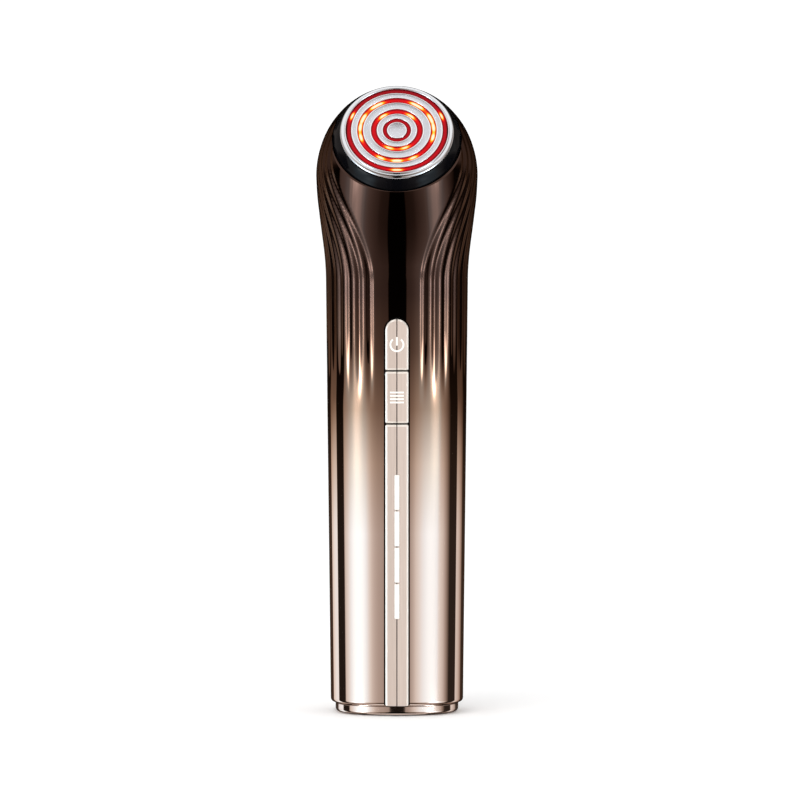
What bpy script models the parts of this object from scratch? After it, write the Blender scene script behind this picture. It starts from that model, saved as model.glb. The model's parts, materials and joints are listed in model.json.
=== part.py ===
"""A hand-held facial care wand with a tilted round treatment head, built piece by piece.

The wand stands on its base: +Z runs up its length, the front faces -Y, and the origin is the
centre of the underside. Every length is in metres.
"""

import math

import bmesh
import bpy
from mathutils import Matrix, Vector
from mathutils.geometry import interpolate_bezier

MM = 0.001
GAP = 0.3 * MM
SEAT = 0.1 * MM

# Casing: an oval tube that widens into a domed head.
HEIGHT = 200 * MM
CASING_BOTTOM = 3.4 * MM
WALL = 2.2 * MM
BOTTOM_ROUND = 1 * MM
BOTTOM_HALF_WIDTH = 21.2 * MM
GRIP_HALF_WIDTH = 22.7 * MM
HEAD_HALF_WIDTH = 25.8 * MM
GRIP_DEPTH_RATIO = 0.9
HEAD_FRONT = 27 * MM
HEAD_BACK = 24.5 * MM
TAPER_START = 4 * MM
GRIP_TOP = 138 * MM
HEAD_SIDES_FULL = 172 * MM
HEAD_FRONT_FULL = 184 * MM
DOME_START = 171.4 * MM
DOME_HEIGHT = HEIGHT - DOME_START
GRIP_SQUARENESS = 2.5
HEAD_SQUARENESS = 2.15
PARTING_Y = 3 * MM
CASING_SIDES = 48
GRIP_STATIONS = 6
FLARE_STATIONS = 8
DOME_STATIONS = 7
FACE_SIDES = 36
SMALL_SIDES = 12

# Treatment head: its axis leans up from the horizontal.
HEAD_TILT = math.radians(35.6)
HEAD_NORMAL = Vector((0, -math.cos(HEAD_TILT), math.sin(HEAD_TILT)))
RIM_CENTRE = Vector((0, -11.8 * MM, 182.75 * MM))
RIM_DEPTH = 5.4 * MM
FACE_CENTRE = RIM_CENTRE + HEAD_NORMAL * RIM_DEPTH
OPENING_RADIUS = 20.6 * MM
OPENING_DEPTH = 10 * MM
BEZEL_LIP = (16.15 * MM, 16.9 * MM)
BEZEL_FLARE_RADIUS = 18.05 * MM
BEZEL_FLARE_DEPTH = 1.1 * MM
BEZEL_SHOULDER = (17.85 * MM, -0.7 * MM)
BEZEL_BOTTOM = -4.5 * MM
LENS_RADIUS = BEZEL_LIP[0] - GAP
LENS_TOP = -0.3 * MM
LENS_BOTTOM = -2.6 * MM
ELECTRODE_THICKNESS = 1.2 * MM
CENTRE_ELECTRODE_RADIUS = 3.15 * MM
ELECTRODE_RINGS = {
    "ring_electrode_inner": (4.45 * MM, 6.4 * MM, 90),
    "ring_electrode_middle": (8.2 * MM, 10.75 * MM, 210),
    "ring_electrode_outer": (12.55 * MM, 14.5 * MM, 330),
}
LEG_RADIUS = 0.7 * MM
LEG_END = -5.1 * MM
COLLAR_INNER_RADIUS = 17 * MM
COLLAR_NECK_RADIUS = 18.35 * MM
COLLAR_RADIUS = OPENING_RADIUS - GAP
COLLAR_SHOULDER = (COLLAR_RADIUS - 0.8 * MM, -3.6 * MM)
COLLAR_BOTTOM = -9 * MM
COLLAR_HOLE_END = -5.2 * MM
GASKET_FLOOR_RADIUS = 19.7 * MM
GASKET_SPAN = (-7.8 * MM, -6.6 * MM)
CARRIER_RIM_WIDTH = 0.65 * MM
CARRIER_STEP = -4.8 * MM
CARRIER_CUP_RADIUS = COLLAR_INNER_RADIUS - 0.4 * MM
CARRIER_FLOOR = -8.8 * MM
CARRIER_BOTTOM = -10.8 * MM
CARRIER_FLANGE_RADIUS = 19.95 * MM
CARRIER_SCREW_RADIUS = 18.35 * MM
CARRIER_SCREW_ANGLES = (30, 150, 270)
CARRIER_SCREW_LENGTH = 5.5 * MM
LED_BOARD_RADIUS = 14.9 * MM
LED_BOARD_TOP = -5.4 * MM
LED_BOARD_BOTTOM = -6.6 * MM
LED_CIRCLES = ((7.3 * MM, 4), (13.2 * MM, 8))
LED_HALF_SIZE = Vector((0.8 * MM, 0.8 * MM, 0.6 * MM))
RIBBON_SLOT_Y = -6 * MM
RIBBON_SLOT_HALF_SIZE = (4 * MM, 1 * MM)
RIBBON_HALF_WIDTH = 3 * MM
RIBBON_HALF_THICKNESS = 0.15 * MM

# Front strip: a trim recessed in the casing, with two keys above it.
STRIP_HALF_WIDTH = 3.75 * MM
STRIP_CHAMFER = 0.6 * MM
STRIP_RIDGE = 0.55 * MM
STRIP_EDGE = 0.1 * MM
STRIP_BACK = 1.1 * MM
RECESS_DEPTH = 1.5 * MM
FLOOR_THICKNESS = 1.5 * MM
FLOOR_HALF_WIDTH = 7 * MM
FLOOR_SPAN = (10 * MM, 131 * MM)
INDICATOR_SPAN = (3.4 * MM, 92.8 * MM)
LEVEL_KEY_SPAN = (93.3 * MM, 109.6 * MM)
POWER_KEY_SPAN = (110.1 * MM, 126.2 * MM)
KEY_BACK = 0.6 * MM
PLUNGER_RADIUS = 1.5 * MM
PLUNGER_HOLE_RADIUS = 1.9 * MM
WINDOW_COUNT = 4
WINDOW_PITCH = 11.55 * MM
WINDOW_SIZE = (1.7 * MM, 11.15 * MM)
WINDOW_CENTRE_Z = 54 * MM
WINDOW_LEG_SIZE = (1 * MM, 7 * MM)

# Inside: a circuit board in front of a frame that cradles the battery.
BOARD_FRONT = -11 * MM
BOARD_BACK = -9.4 * MM
BOARD_HALF_WIDTH = 14.8 * MM
BOARD_SPAN = (13 * MM, 136 * MM)
BOARD_SCREW_X = 12 * MM
BOARD_SCREW_HEIGHTS = (18 * MM, 100 * MM)
BOARD_SCREW_LENGTH = 5 * MM
BOARD_POST_RADIUS = 2.3 * MM
CHIP_SPAN_X = (-13 * MM, -4 * MM)
CHIP_SPAN_Z = (55.5 * MM, 64.5 * MM)
CHIP_HEIGHT = 1.2 * MM
TRANSFORMER_HALF_WIDTH = 7 * MM
TRANSFORMER_SPAN = (112 * MM, 126 * MM)
TRANSFORMER_DEPTH = 9 * MM
BUZZER_RADIUS = 4 * MM
BUZZER_EDGE = 0.4 * MM
BUZZER_DEPTH = 3 * MM
BUZZER_PLACE = (8 * MM, 30 * MM)
PLATE_FRONT = -7.6 * MM
PLATE_BACK = -6.1 * MM
PLATE_HALF_WIDTH = 14.5 * MM
PLATE_SPAN = (12 * MM, 105 * MM)
SCREW_SHANK_RADIUS = 0.9 * MM
SCREW_HEAD_RADIUS = 1.7 * MM
SCREW_HEAD_HEIGHT = 1 * MM
SCREW_HEAD_EDGE = 0.4 * MM
SCREW_SOCKET_RADIUS = 0.7 * MM
SCREW_TIP = 0.5 * MM
SCREW_HOLE_RADIUS = SCREW_SHANK_RADIUS + GAP
BATTERY_RADIUS = 9.2 * MM
BATTERY_Y = 4.6 * MM
BATTERY_SPAN = (19 * MM, 84 * MM)
BATTERY_EDGE = 0.6 * MM
STRAP_THICKNESS = 0.8 * MM
STRAP_HALF_WIDTH = 4 * MM
CRADLE_HEIGHTS = (27 * MM, 76 * MM)
CRADLE_HALF_WIDTH = 12 * MM
CRADLE_THICKNESS = 3 * MM
SWITCH_HALF_WIDTH = 3 * MM
SWITCH_FRONT = -14.6 * MM
SWITCH_BORE_RADIUS = 2 * MM
SWITCH_BORE_END = -12.6 * MM
STEM_RADIUS = 1.7 * MM
STEM_FRONT = -15.1 * MM
STEM_BACK = -13.4 * MM
INDICATOR_LED_FRONT = -12.2 * MM
INDICATOR_LED_HALF_SIZE = 1.5 * MM

# Routes of the leads on the right-hand side.
BATTERY_LEAD_RADIUS = 0.6 * MM
BATTERY_LEAD_ROUTE = (
    (3 * MM, 4.6 * MM, 84.4 * MM), (3 * MM, 4.6 * MM, 92 * MM), (3 * MM, 1 * MM, 103 * MM),
    (3 * MM, -6 * MM, 108 * MM), (3 * MM, -9 * MM, 108.4 * MM),
)
CHARGE_LEAD_RADIUS = 0.5 * MM
CHARGE_LEAD_ROUTE = (
    (5 * MM, -2 * MM, 7.5 * MM), (5 * MM, -3 * MM, 9.4 * MM), (5 * MM, -6.6 * MM, 10.2 * MM),
    (5 * MM, -8.5 * MM, 12.4 * MM), (5 * MM, -8.5 * MM, 17 * MM),
)

# Base: an oval cap, set in from the casing, with a pad that the wand stands on.
BASE_HALF_WIDTH = 19.65 * MM
BASE_SIDES = 32
BASE_SCREW_X = 12 * MM
BASE_SCREW_Y = 3 * MM
BASE_SCREW_SEAT = 2.3 * MM
BASE_SCREW_LENGTH = 11 * MM
SCREW_FOOT_HALF_WIDTH = 2.4 * MM
SCREW_FOOT_SPAN = (9.5 * MM, 14 * MM)
CONTACT_X = 5 * MM
CONTACT_Y = -2 * MM
CONTACT_RADIUS = 1.5 * MM
CONTACT_SPAN = (0.4 * MM, 7 * MM)
# Sections through the base, as points (inset from its outline, height).
CAP_SECTION = (
    (2 * MM, 1.2 * MM), (2 * MM, 0.3 * MM), (1 * MM, 0.3 * MM), (0.3 * MM, 0.6 * MM),
    (0, 1.3 * MM), (0, 3.1 * MM), (1.05 * MM, 3.1 * MM), (1.05 * MM, 4.7 * MM),
    (1.95 * MM, 4.7 * MM), (1.95 * MM, 6.3 * MM), (1.05 * MM, 6.3 * MM), (1.05 * MM, 8 * MM),
    (3.2 * MM, 8 * MM), (3.2 * MM, 3.1 * MM),
)
SEAL_SECTION = (
    (0.85 * MM, 4.9 * MM), (1.8 * MM, 4.9 * MM), (1.8 * MM, 6.1 * MM), (0.85 * MM, 6.1 * MM),
)
PAD_SECTION = ((2.3 * MM, 0), (2.3 * MM, 0.9 * MM))

GRAPHITE_METALLISED = ("#5b4538", 0.2, 0.9)
CHAMPAGNE_METALLISED = ("#cdbcae", 0.22, 0.9)
CHROME = ("#dcdde0", 0.08, 1.0)
SATIN_STEEL = ("#d9dade", 0.3, 1.0)
GLOSS_BLACK = ("#0b0b0d", 0.12, 0.0)
RED_LENS = ("#c40a12", 0.15, 0.0)
WHITE_DIFFUSER = ("#f4f2ee", 0.4, 0.0)
GREY_NYLON = ("#4d5054", 0.55, 0.0)
BLACK_RUBBER = ("#1c1c1e", 0.85, 0.0)
GREEN_BOARD = ("#1d5b3a", 0.5, 0.0)
BLACK_PACKAGE = ("#1a1a1c", 0.5, 0.0)
ZINC_STEEL = ("#b9bcc0", 0.35, 1.0)
GOLD_PLATE = ("#d8ae5a", 0.25, 1.0)
COPPER_WINDING = ("#b8683a", 0.4, 0.7)
BLUE_SLEEVE = ("#25508f", 0.4, 0.0)
RED_WIRE = ("#b3201f", 0.5, 0.0)
BLACK_WIRE = ("#202022", 0.5, 0.0)
AMBER_FILM = ("#c98a2b", 0.35, 0.0)


def clear_scene():
    for item in list(bpy.data.objects):
        bpy.data.objects.remove(item, do_unlink=True)


def linear(channel):
    if channel <= 0.04045:
        return channel / 12.92
    return ((channel + 0.055) / 1.055) ** 2.4


def make_material(name, finish):
    colour, roughness, metallic = finish
    channels = [int(colour[start:start + 2], 16) / 255 for start in (1, 3, 5)]
    material = bpy.data.materials.new(name)
    material.use_nodes = True
    shader = material.node_tree.nodes["Principled BSDF"]
    shader.inputs["Base Color"].default_value = (*[linear(value) for value in channels], 1)
    shader.inputs["Roughness"].default_value = roughness
    shader.inputs["Metallic"].default_value = metallic
    return material


def place(name, bm, finish=None, location=(0, 0, 0), rotation=(0, 0, 0), parent=None):
    """Turns a finished bmesh into an object; one without a finish is a cutter or a guide."""
    bmesh.ops.recalc_face_normals(bm, faces=bm.faces)
    mesh = bpy.data.meshes.new(name)
    bm.to_mesh(mesh)
    bm.free()
    mesh.shade_smooth()
    mesh.set_sharp_from_angle(angle=math.radians(30))
    item = bpy.data.objects.new(name, mesh)
    item.location = location
    item.rotation_euler = rotation
    item.parent = parent
    bpy.context.collection.objects.link(item)
    if finish:
        mesh.materials.append(make_material(name, finish))
    else:
        item.hide_render = True
        item.display_type = "WIRE"
    return item


def combine(target, operation, tool):
    modifier = target.modifiers.new(tool.name, "BOOLEAN")
    modifier.operation = operation
    modifier.solver = "EXACT"
    modifier.object = tool


def loft(rings, closed=False):
    """A solid through rings of points. A ring may be one point; a closed loft joins last to first."""
    bm = bmesh.new()
    loops = [[bm.verts.new(point) for point in ring] for ring in rings]
    pairs = list(zip(loops, loops[1:]))
    if closed:
        pairs.append((loops[-1], loops[0]))
    else:
        bm.faces.new(loops[0])
        bm.faces.new(loops[-1])
    for lower, upper in pairs:
        sides = max(len(lower), len(upper))
        for step in range(sides):
            corners = [lower[step % len(lower)], lower[(step + 1) % len(lower)]]
            corners += [upper[(step + 1) % len(upper)], upper[step % len(upper)]]
            corners = list(dict.fromkeys(corners))
            if len(corners) > 2:
                bm.faces.new(corners)
    return bm


def turned(profile, sides=24):
    """A closed outline of (radius, height) points spun about the Z axis."""
    bm = bmesh.new()
    points = [bm.verts.new((radius, 0, height)) for radius, height in profile]
    edges = []
    for first, second in zip(points, points[1:] + points[:1]):
        if first.co.x or second.co.x:
            edges.append(bm.edges.new((first, second)))
    bmesh.ops.spin(
        bm, geom=points + edges, cent=(0, 0, 0), axis=(0, 0, 1),
        angle=math.tau, steps=sides, use_merge=True,
    )
    bmesh.ops.remove_doubles(bm, verts=bm.verts, dist=SEAT / 100)
    return bm


def extruded(outline, offset):
    """A flat outline of points swept along the offset."""
    bm = bmesh.new()
    face = bm.faces.new([bm.verts.new(point) for point in outline])
    moved = bmesh.ops.extrude_face_region(bm, geom=[face])["geom"]
    corners = [part for part in moved if isinstance(part, bmesh.types.BMVert)]
    bmesh.ops.translate(bm, verts=corners, vec=offset)
    return bm


def add_box(bm, low, high):
    low = Vector(low)
    high = Vector(high)
    scale = Matrix.Diagonal((*(high - low), 1))
    bmesh.ops.create_cube(bm, size=1, matrix=Matrix.Translation((low + high) / 2) @ scale)


def add_rod(bm, start, end, radius, sides=SMALL_SIDES):
    start = Vector(start)
    end = Vector(end)
    turn = (end - start).to_track_quat("Z", "Y").to_matrix().to_4x4()
    bmesh.ops.create_cone(
        bm, cap_ends=True, segments=sides, radius1=radius, radius2=radius,
        depth=(end - start).length, matrix=Matrix.Translation((start + end) / 2) @ turn,
    )


def rounded_box(low, high, rounding):
    bm = bmesh.new()
    add_box(bm, low, high)
    bmesh.ops.bevel(bm, geom=bm.edges[:], offset=rounding, segments=1, affect="EDGES")
    return bm


def smooth_step(low, high, value):
    share = min(max((value - low) / (high - low), 0), 1)
    return share * share * (3 - 2 * share)


def section(z):
    """Half-width, front depth, back depth and squareness of the casing at a height."""
    taper = min(max((z - TAPER_START) / (GRIP_TOP - TAPER_START), 0), 1)
    tube = BOTTOM_HALF_WIDTH + (GRIP_HALF_WIDTH - BOTTOM_HALF_WIDTH) * taper
    depth = GRIP_DEPTH_RATIO * tube
    sides_flare = smooth_step(GRIP_TOP, HEAD_SIDES_FULL, z)
    front_flare = smooth_step(GRIP_TOP, HEAD_FRONT_FULL, z)
    grip_depth = GRIP_DEPTH_RATIO * GRIP_HALF_WIDTH
    half_width = tube + (HEAD_HALF_WIDTH - GRIP_HALF_WIDTH) * sides_flare
    front = depth + (HEAD_FRONT - grip_depth) * front_flare
    back = depth + (HEAD_BACK - grip_depth) * sides_flare
    squareness = GRIP_SQUARENESS + (HEAD_SQUARENESS - GRIP_SQUARENESS) * sides_flare
    return half_width, front, back, squareness


def oval(half_width, front, back, squareness, z, sides):
    points = []
    for step in range(sides):
        angle = math.tau * step / sides
        across = math.cos(angle)
        along = math.sin(angle)
        depth = back if along > 0 else front
        x = half_width * math.copysign(abs(across) ** (2 / squareness), across)
        y = depth * math.copysign(abs(along) ** (2 / squareness), along)
        points.append((x, y, z))
    return points


def casing_ring(z, inset=0, scale=1):
    half_width, front, back, squareness = section(z)
    sizes = [(size - inset) * scale for size in (half_width, front, back)]
    return oval(*sizes, squareness, z, CASING_SIDES)


def casing_wall(inset):
    """Rings up one side of the casing wall, from above the bottom edge to the top of the dome."""
    rings = []
    for step in range(GRIP_STATIONS):
        start = CASING_BOTTOM + BOTTOM_ROUND
        rings.append(casing_ring(start + (GRIP_TOP - start) * step / GRIP_STATIONS, inset))
    for step in range(FLARE_STATIONS):
        rings.append(casing_ring(GRIP_TOP + (DOME_START - GRIP_TOP) * step / FLARE_STATIONS, inset))
    for step in range(DOME_STATIONS):
        rise = math.pi / 2 * step / DOME_STATIONS
        z = DOME_START + (DOME_HEIGHT - inset) * math.sin(rise)
        rings.append(casing_ring(z, inset, math.cos(rise)))
    rings.append([(0, 0, HEIGHT - inset)])
    return rings


def casing():
    """The whole casing as one wall, open at the bottom, before it is parted into two shells."""
    bottom = casing_ring(CASING_BOTTOM, BOTTOM_ROUND)
    corner = casing_ring(CASING_BOTTOM + BOTTOM_ROUND * 0.3, BOTTOM_ROUND * 0.3)
    inside = casing_wall(WALL)[::-1]
    return loft([bottom, corner, *casing_wall(0), *inside, casing_ring(CASING_BOTTOM, WALL)], True)


def front_point(z):
    """The casing's foremost point at a height on the grip."""
    return Vector((0, -section(z)[1], z))


def grip_lean():
    """The grip's front leans forward by this angle, because the casing tapers."""
    rise = front_point(GRIP_TOP) - front_point(TAPER_START)
    return math.atan2(-rise.y, rise.z)


def centre_of(span):
    return (span[0] + span[1]) / 2


def strip_frame(span):
    """Location and rotation of a piece of the front strip, centred on its span."""
    return {"location": front_point(centre_of(span)), "rotation": (grip_lean(), 0, 0)}


def half_round(half_width, bottom, top):
    """A front-view outline with a half-round top end."""
    centre = top - half_width
    points = [(-half_width, bottom), (half_width, bottom)]
    for step in range(13):
        angle = math.pi * step / 12
        points.append((half_width * math.cos(angle), centre + half_width * math.sin(angle)))
    return points


def recess_cutter():
    """The channel for the strip and both keys, open at the bottom edge."""
    top = POWER_KEY_SPAN[1] + GAP
    middle = front_point(centre_of((0, top)))
    outline = half_round(STRIP_HALF_WIDTH + GAP, -top / 2 - 2 * BOTTOM_ROUND, top / 2)
    points = [(x, -3 * RECESS_DEPTH, z) for x, z in outline]
    channel = extruded(points, (0, 4 * RECESS_DEPTH, 0))
    return place("recess_cutter", channel, location=middle, rotation=(grip_lean(), 0, 0))


def window_heights():
    middle = (WINDOW_COUNT - 1) / 2
    return [WINDOW_CENTRE_Z + WINDOW_PITCH * (index - middle) for index in range(WINDOW_COUNT)]


def floor_cutter():
    """Holes behind the strip for both plungers and the legs of the light windows."""
    bm = bmesh.new()
    reach = Vector((0, RECESS_DEPTH + 2 * FLOOR_THICKNESS, 0))
    for span in (LEVEL_KEY_SPAN, POWER_KEY_SPAN):
        start = front_point(centre_of(span))
        add_rod(bm, start, start + reach, PLUNGER_HOLE_RADIUS)
    for z in window_heights():
        start = front_point(z)
        half = Vector((WINDOW_LEG_SIZE[0] / 2 + GAP, 0, WINDOW_LEG_SIZE[1] / 2 + GAP))
        add_box(bm, start - half, start + half + reach)
    return place("floor_cutter", bm)


def floor_rib():
    """A thicker band of wall behind the recess."""
    bottom, top = FLOOR_SPAN
    length = top - bottom
    bm = bmesh.new()
    low = (-FLOOR_HALF_WIDTH, WALL - RECESS_DEPTH / 2, -length / 2)
    high = (FLOOR_HALF_WIDTH, RECESS_DEPTH + FLOOR_THICKNESS, length / 2)
    add_box(bm, low, high)
    return place("floor_rib", bm, **strip_frame(FLOOR_SPAN))


def half_space(name, near, far):
    """A block that covers the casing between two depths."""
    bm = bmesh.new()
    add_box(bm, (-HEIGHT, near, -HEIGHT), (HEIGHT, far, 2 * HEIGHT))
    return place(name, bm)


def face_cutter(head_axis):
    """Takes off the dome in front of the rim and bores the round opening behind it."""
    bm = turned([
        (0, HEIGHT / 2), (HEIGHT / 2, HEIGHT / 2), (HEIGHT / 2, -RIM_DEPTH),
        (OPENING_RADIUS, -RIM_DEPTH), (OPENING_RADIUS, -OPENING_DEPTH), (0, -OPENING_DEPTH),
    ], sides=2 * FACE_SIDES)
    return place("face_cutter", bm, parent=head_axis)


def make_shells(head_axis):
    front = place("front_shell", casing(), GRAPHITE_METALLISED)
    rear = place("rear_shell", casing(), GRAPHITE_METALLISED)
    combine(front, "UNION", floor_rib())
    combine(front, "DIFFERENCE", half_space("front_parting", PARTING_Y, HEIGHT))
    combine(rear, "DIFFERENCE", half_space("rear_parting", -HEIGHT, PARTING_Y + GAP))
    combine(front, "DIFFERENCE", face_cutter(head_axis))
    combine(front, "DIFFERENCE", recess_cutter())
    combine(front, "DIFFERENCE", floor_cutter())


def polar(radius, degrees, height):
    angle = math.radians(degrees)
    return Vector((radius * math.cos(angle), radius * math.sin(angle), height))


def make_bezel(head_axis):
    inner, lip = BEZEL_LIP
    sleeve = COLLAR_INNER_RADIUS - GAP
    bm = turned([
        (inner, 0), (lip, 0), BEZEL_SHOULDER, (BEZEL_FLARE_RADIUS, -BEZEL_FLARE_DEPTH),
        (sleeve, -BEZEL_FLARE_DEPTH), (sleeve, BEZEL_BOTTOM), (inner, BEZEL_BOTTOM),
    ], sides=FACE_SIDES)
    place("head_bezel", bm, CHROME, parent=head_axis)


def make_collar(head_axis):
    top = -BEZEL_FLARE_DEPTH - GAP
    groove_bottom, groove_top = GASKET_SPAN
    bm = turned([
        (COLLAR_INNER_RADIUS, top), (COLLAR_NECK_RADIUS, top), COLLAR_SHOULDER,
        (COLLAR_RADIUS, -RIM_DEPTH), (COLLAR_RADIUS, groove_top),
        (GASKET_FLOOR_RADIUS, groove_top), (GASKET_FLOOR_RADIUS, groove_bottom),
        (COLLAR_RADIUS, groove_bottom), (COLLAR_RADIUS, COLLAR_BOTTOM),
        (COLLAR_INNER_RADIUS, COLLAR_BOTTOM),
    ], sides=FACE_SIDES)
    collar = place("head_collar", bm, GLOSS_BLACK, parent=head_axis)
    holes = bmesh.new()
    for angle in CARRIER_SCREW_ANGLES:
        foot = polar(CARRIER_SCREW_RADIUS, angle, COLLAR_BOTTOM - MM)
        end = polar(CARRIER_SCREW_RADIUS, angle, COLLAR_HOLE_END)
        add_rod(holes, foot, end, SCREW_HOLE_RADIUS)
    combine(collar, "DIFFERENCE", place("collar_holes", holes, parent=head_axis))
    inner = GASKET_FLOOR_RADIUS + SEAT
    outer = OPENING_RADIUS - SEAT
    ring = turned([
        (inner, groove_top - SEAT), (outer, groove_top - SEAT),
        (outer, groove_bottom + SEAT), (inner, groove_bottom + SEAT),
    ], sides=FACE_SIDES)
    place("collar_gasket", ring, BLACK_RUBBER, parent=head_axis)


def electrode_legs(radius):
    """Rods on the line of each electrode's leg."""
    bm = bmesh.new()
    top = -ELECTRODE_THICKNESS / 2
    add_rod(bm, (0, 0, top), (0, 0, LEG_END), radius)
    for inner, outer, angle in ELECTRODE_RINGS.values():
        middle = (inner + outer) / 2
        add_rod(bm, polar(middle, angle, top), polar(middle, angle, LEG_END), radius)
    return bm


def make_electrodes(head_axis):
    bottom = -ELECTRODE_THICKNESS
    edge = 0.15 * MM
    radius = CENTRE_ELECTRODE_RADIUS
    bm = turned([
        (0, 0), (radius - edge, 0), (radius, -edge), (radius, bottom),
        (LEG_RADIUS, bottom), (LEG_RADIUS, LEG_END), (0, LEG_END),
    ])
    place("centre_electrode", bm, SATIN_STEEL, parent=head_axis)
    for name, (inner, outer, angle) in ELECTRODE_RINGS.items():
        bm = turned([
            (inner, -edge), (inner + edge, 0), (outer - edge, 0), (outer, -edge),
            (outer, bottom), (inner, bottom),
        ], sides=FACE_SIDES)
        ring = place(name, bm, SATIN_STEEL, parent=head_axis)
        leg = bmesh.new()
        middle = (inner + outer) / 2
        add_rod(leg, polar(middle, angle, bottom / 2), polar(middle, angle, LEG_END), LEG_RADIUS)
        combine(ring, "UNION", place(name + "_leg", leg, parent=head_axis))


def make_lens(head_axis):
    """A disc with a seat for each electrode and a hole for each leg."""
    seat = -ELECTRODE_THICKNESS - SEAT
    profile = [(0, seat), (CENTRE_ELECTRODE_RADIUS + SEAT, seat)]
    profile.append((CENTRE_ELECTRODE_RADIUS + SEAT, LENS_TOP))
    for inner, outer, _ in ELECTRODE_RINGS.values():
        profile += [(inner - SEAT, LENS_TOP), (inner - SEAT, seat)]
        profile += [(outer + SEAT, seat), (outer + SEAT, LENS_TOP)]
    profile += [(LENS_RADIUS, LENS_TOP), (LENS_RADIUS, LENS_BOTTOM), (0, LENS_BOTTOM)]
    lens = place("light_lens", turned(profile, sides=FACE_SIDES), RED_LENS, parent=head_axis)
    holes = place("lens_holes", electrode_legs(LEG_RADIUS + SEAT), parent=head_axis)
    combine(lens, "DIFFERENCE", holes)


def make_carrier(head_axis):
    """The cup behind the lens: its rim backs the lens and its flange is screwed to the collar."""
    rim = LENS_RADIUS - CARRIER_RIM_WIDTH
    top = LENS_BOTTOM - GAP
    flange = COLLAR_BOTTOM - GAP
    well = LED_BOARD_RADIUS - MM
    step = LED_BOARD_BOTTOM - SEAT
    bm = turned([
        (0, CARRIER_FLOOR), (well, CARRIER_FLOOR), (well, step), (rim, step), (rim, top),
        (LENS_RADIUS, top), (LENS_RADIUS, CARRIER_STEP), (CARRIER_CUP_RADIUS, CARRIER_STEP),
        (CARRIER_CUP_RADIUS, flange), (CARRIER_FLANGE_RADIUS, flange),
        (CARRIER_FLANGE_RADIUS, CARRIER_BOTTOM), (0, CARRIER_BOTTOM),
    ])
    carrier = place("head_carrier", bm, GREY_NYLON, parent=head_axis)
    holes = bmesh.new()
    for angle in CARRIER_SCREW_ANGLES:
        start = polar(CARRIER_SCREW_RADIUS, angle, CARRIER_BOTTOM - MM)
        end = polar(CARRIER_SCREW_RADIUS, angle, flange + MM)
        add_rod(holes, start, end, SCREW_HOLE_RADIUS)
    half_width, half_height = RIBBON_SLOT_HALF_SIZE
    low = (-half_width, RIBBON_SLOT_Y - half_height, CARRIER_BOTTOM - MM)
    add_box(holes, low, (half_width, RIBBON_SLOT_Y + half_height, CARRIER_FLOOR + MM))
    combine(carrier, "DIFFERENCE", place("carrier_holes", holes, parent=head_axis))
    for number, angle in enumerate(CARRIER_SCREW_ANGLES, 1):
        foot = polar(CARRIER_SCREW_RADIUS, angle, CARRIER_BOTTOM - SEAT)
        fastener = screw(CARRIER_SCREW_LENGTH)
        place(f"carrier_screw_{number}", fastener, ZINC_STEEL, foot, parent=head_axis)


def make_led_board(head_axis):
    board = turned([
        (0, LED_BOARD_TOP), (LED_BOARD_RADIUS, LED_BOARD_TOP),
        (LED_BOARD_RADIUS, LED_BOARD_BOTTOM), (0, LED_BOARD_BOTTOM),
    ])
    item = place("led_board", board, GREEN_BOARD, parent=head_axis)
    packages = bmesh.new()
    for radius, count in LED_CIRCLES:
        for index in range(count):
            centre = polar(radius, 360 * (index + 0.5) / count, LED_BOARD_TOP)
            add_box(packages, centre - LED_HALF_SIZE, centre + LED_HALF_SIZE)
    combine(item, "UNION", place("led_packages", packages, parent=head_axis))


def screw(length):
    """A pan-head screw: the head points down from the origin and the shank up."""
    middle = -SCREW_HEAD_HEIGHT / 2
    return turned([
        (0, middle), (SCREW_SOCKET_RADIUS, middle), (SCREW_SOCKET_RADIUS, -SCREW_HEAD_HEIGHT),
        (SCREW_HEAD_RADIUS - SCREW_HEAD_EDGE, -SCREW_HEAD_HEIGHT), (SCREW_HEAD_RADIUS, middle),
        (SCREW_HEAD_RADIUS, 0), (SCREW_SHANK_RADIUS, 0),
        (SCREW_SHANK_RADIUS, length - SCREW_TIP), (SCREW_SHANK_RADIUS / 2, length), (0, length),
    ], sides=SMALL_SIDES)


def strip_profile(back):
    """Cross-section of the strip: two shallow facets that meet in a ridge, with chamfered edges."""
    shoulder = STRIP_HALF_WIDTH - STRIP_CHAMFER
    slope = (STRIP_RIDGE - STRIP_CHAMFER / 2) / shoulder
    crest = -(STRIP_RIDGE - slope * shoulder)
    half = [(STRIP_HALF_WIDTH, back), (STRIP_HALF_WIDTH, STRIP_EDGE), (shoulder, crest)]
    mirrored = [(-x, y) for x, y in reversed(half)]
    return half + [(0, -STRIP_RIDGE)] + mirrored


def strip_bar(span, back, beyond=0):
    length = span[1] - span[0]
    outline = [(x, y, -length / 2) for x, y in strip_profile(back)]
    return extruded(outline, (0, 0, length + beyond))


def plunger_tip(span):
    """A plunger ends one gap in front of its switch stem."""
    return STEM_FRONT - GAP - front_point(centre_of(span)).y


def make_key(name, span, beyond=0):
    bar = strip_bar(span, KEY_BACK, beyond)
    key = place(name, bar, CHAMPAGNE_METALLISED, **strip_frame(span))
    rod = bmesh.new()
    add_rod(rod, (0, KEY_BACK / 2, 0), (0, plunger_tip(span), 0), PLUNGER_RADIUS)
    combine(key, "UNION", place(name + "_plunger", rod, parent=key))
    return key


def make_keys():
    make_key("level_button", LEVEL_KEY_SPAN)
    power = make_key("power_button", POWER_KEY_SPAN, beyond=MM)
    half_length = (POWER_KEY_SPAN[1] - POWER_KEY_SPAN[0]) / 2
    clear = SEAT / 4
    outline = half_round(STRIP_HALF_WIDTH + clear, -2 * half_length, half_length + clear)
    trim = extruded([(x, -2 * RECESS_DEPTH, z) for x, z in outline], (0, HEAD_FRONT, 0))
    combine(power, "INTERSECT", place("power_button_trim", trim, parent=power))


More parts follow.
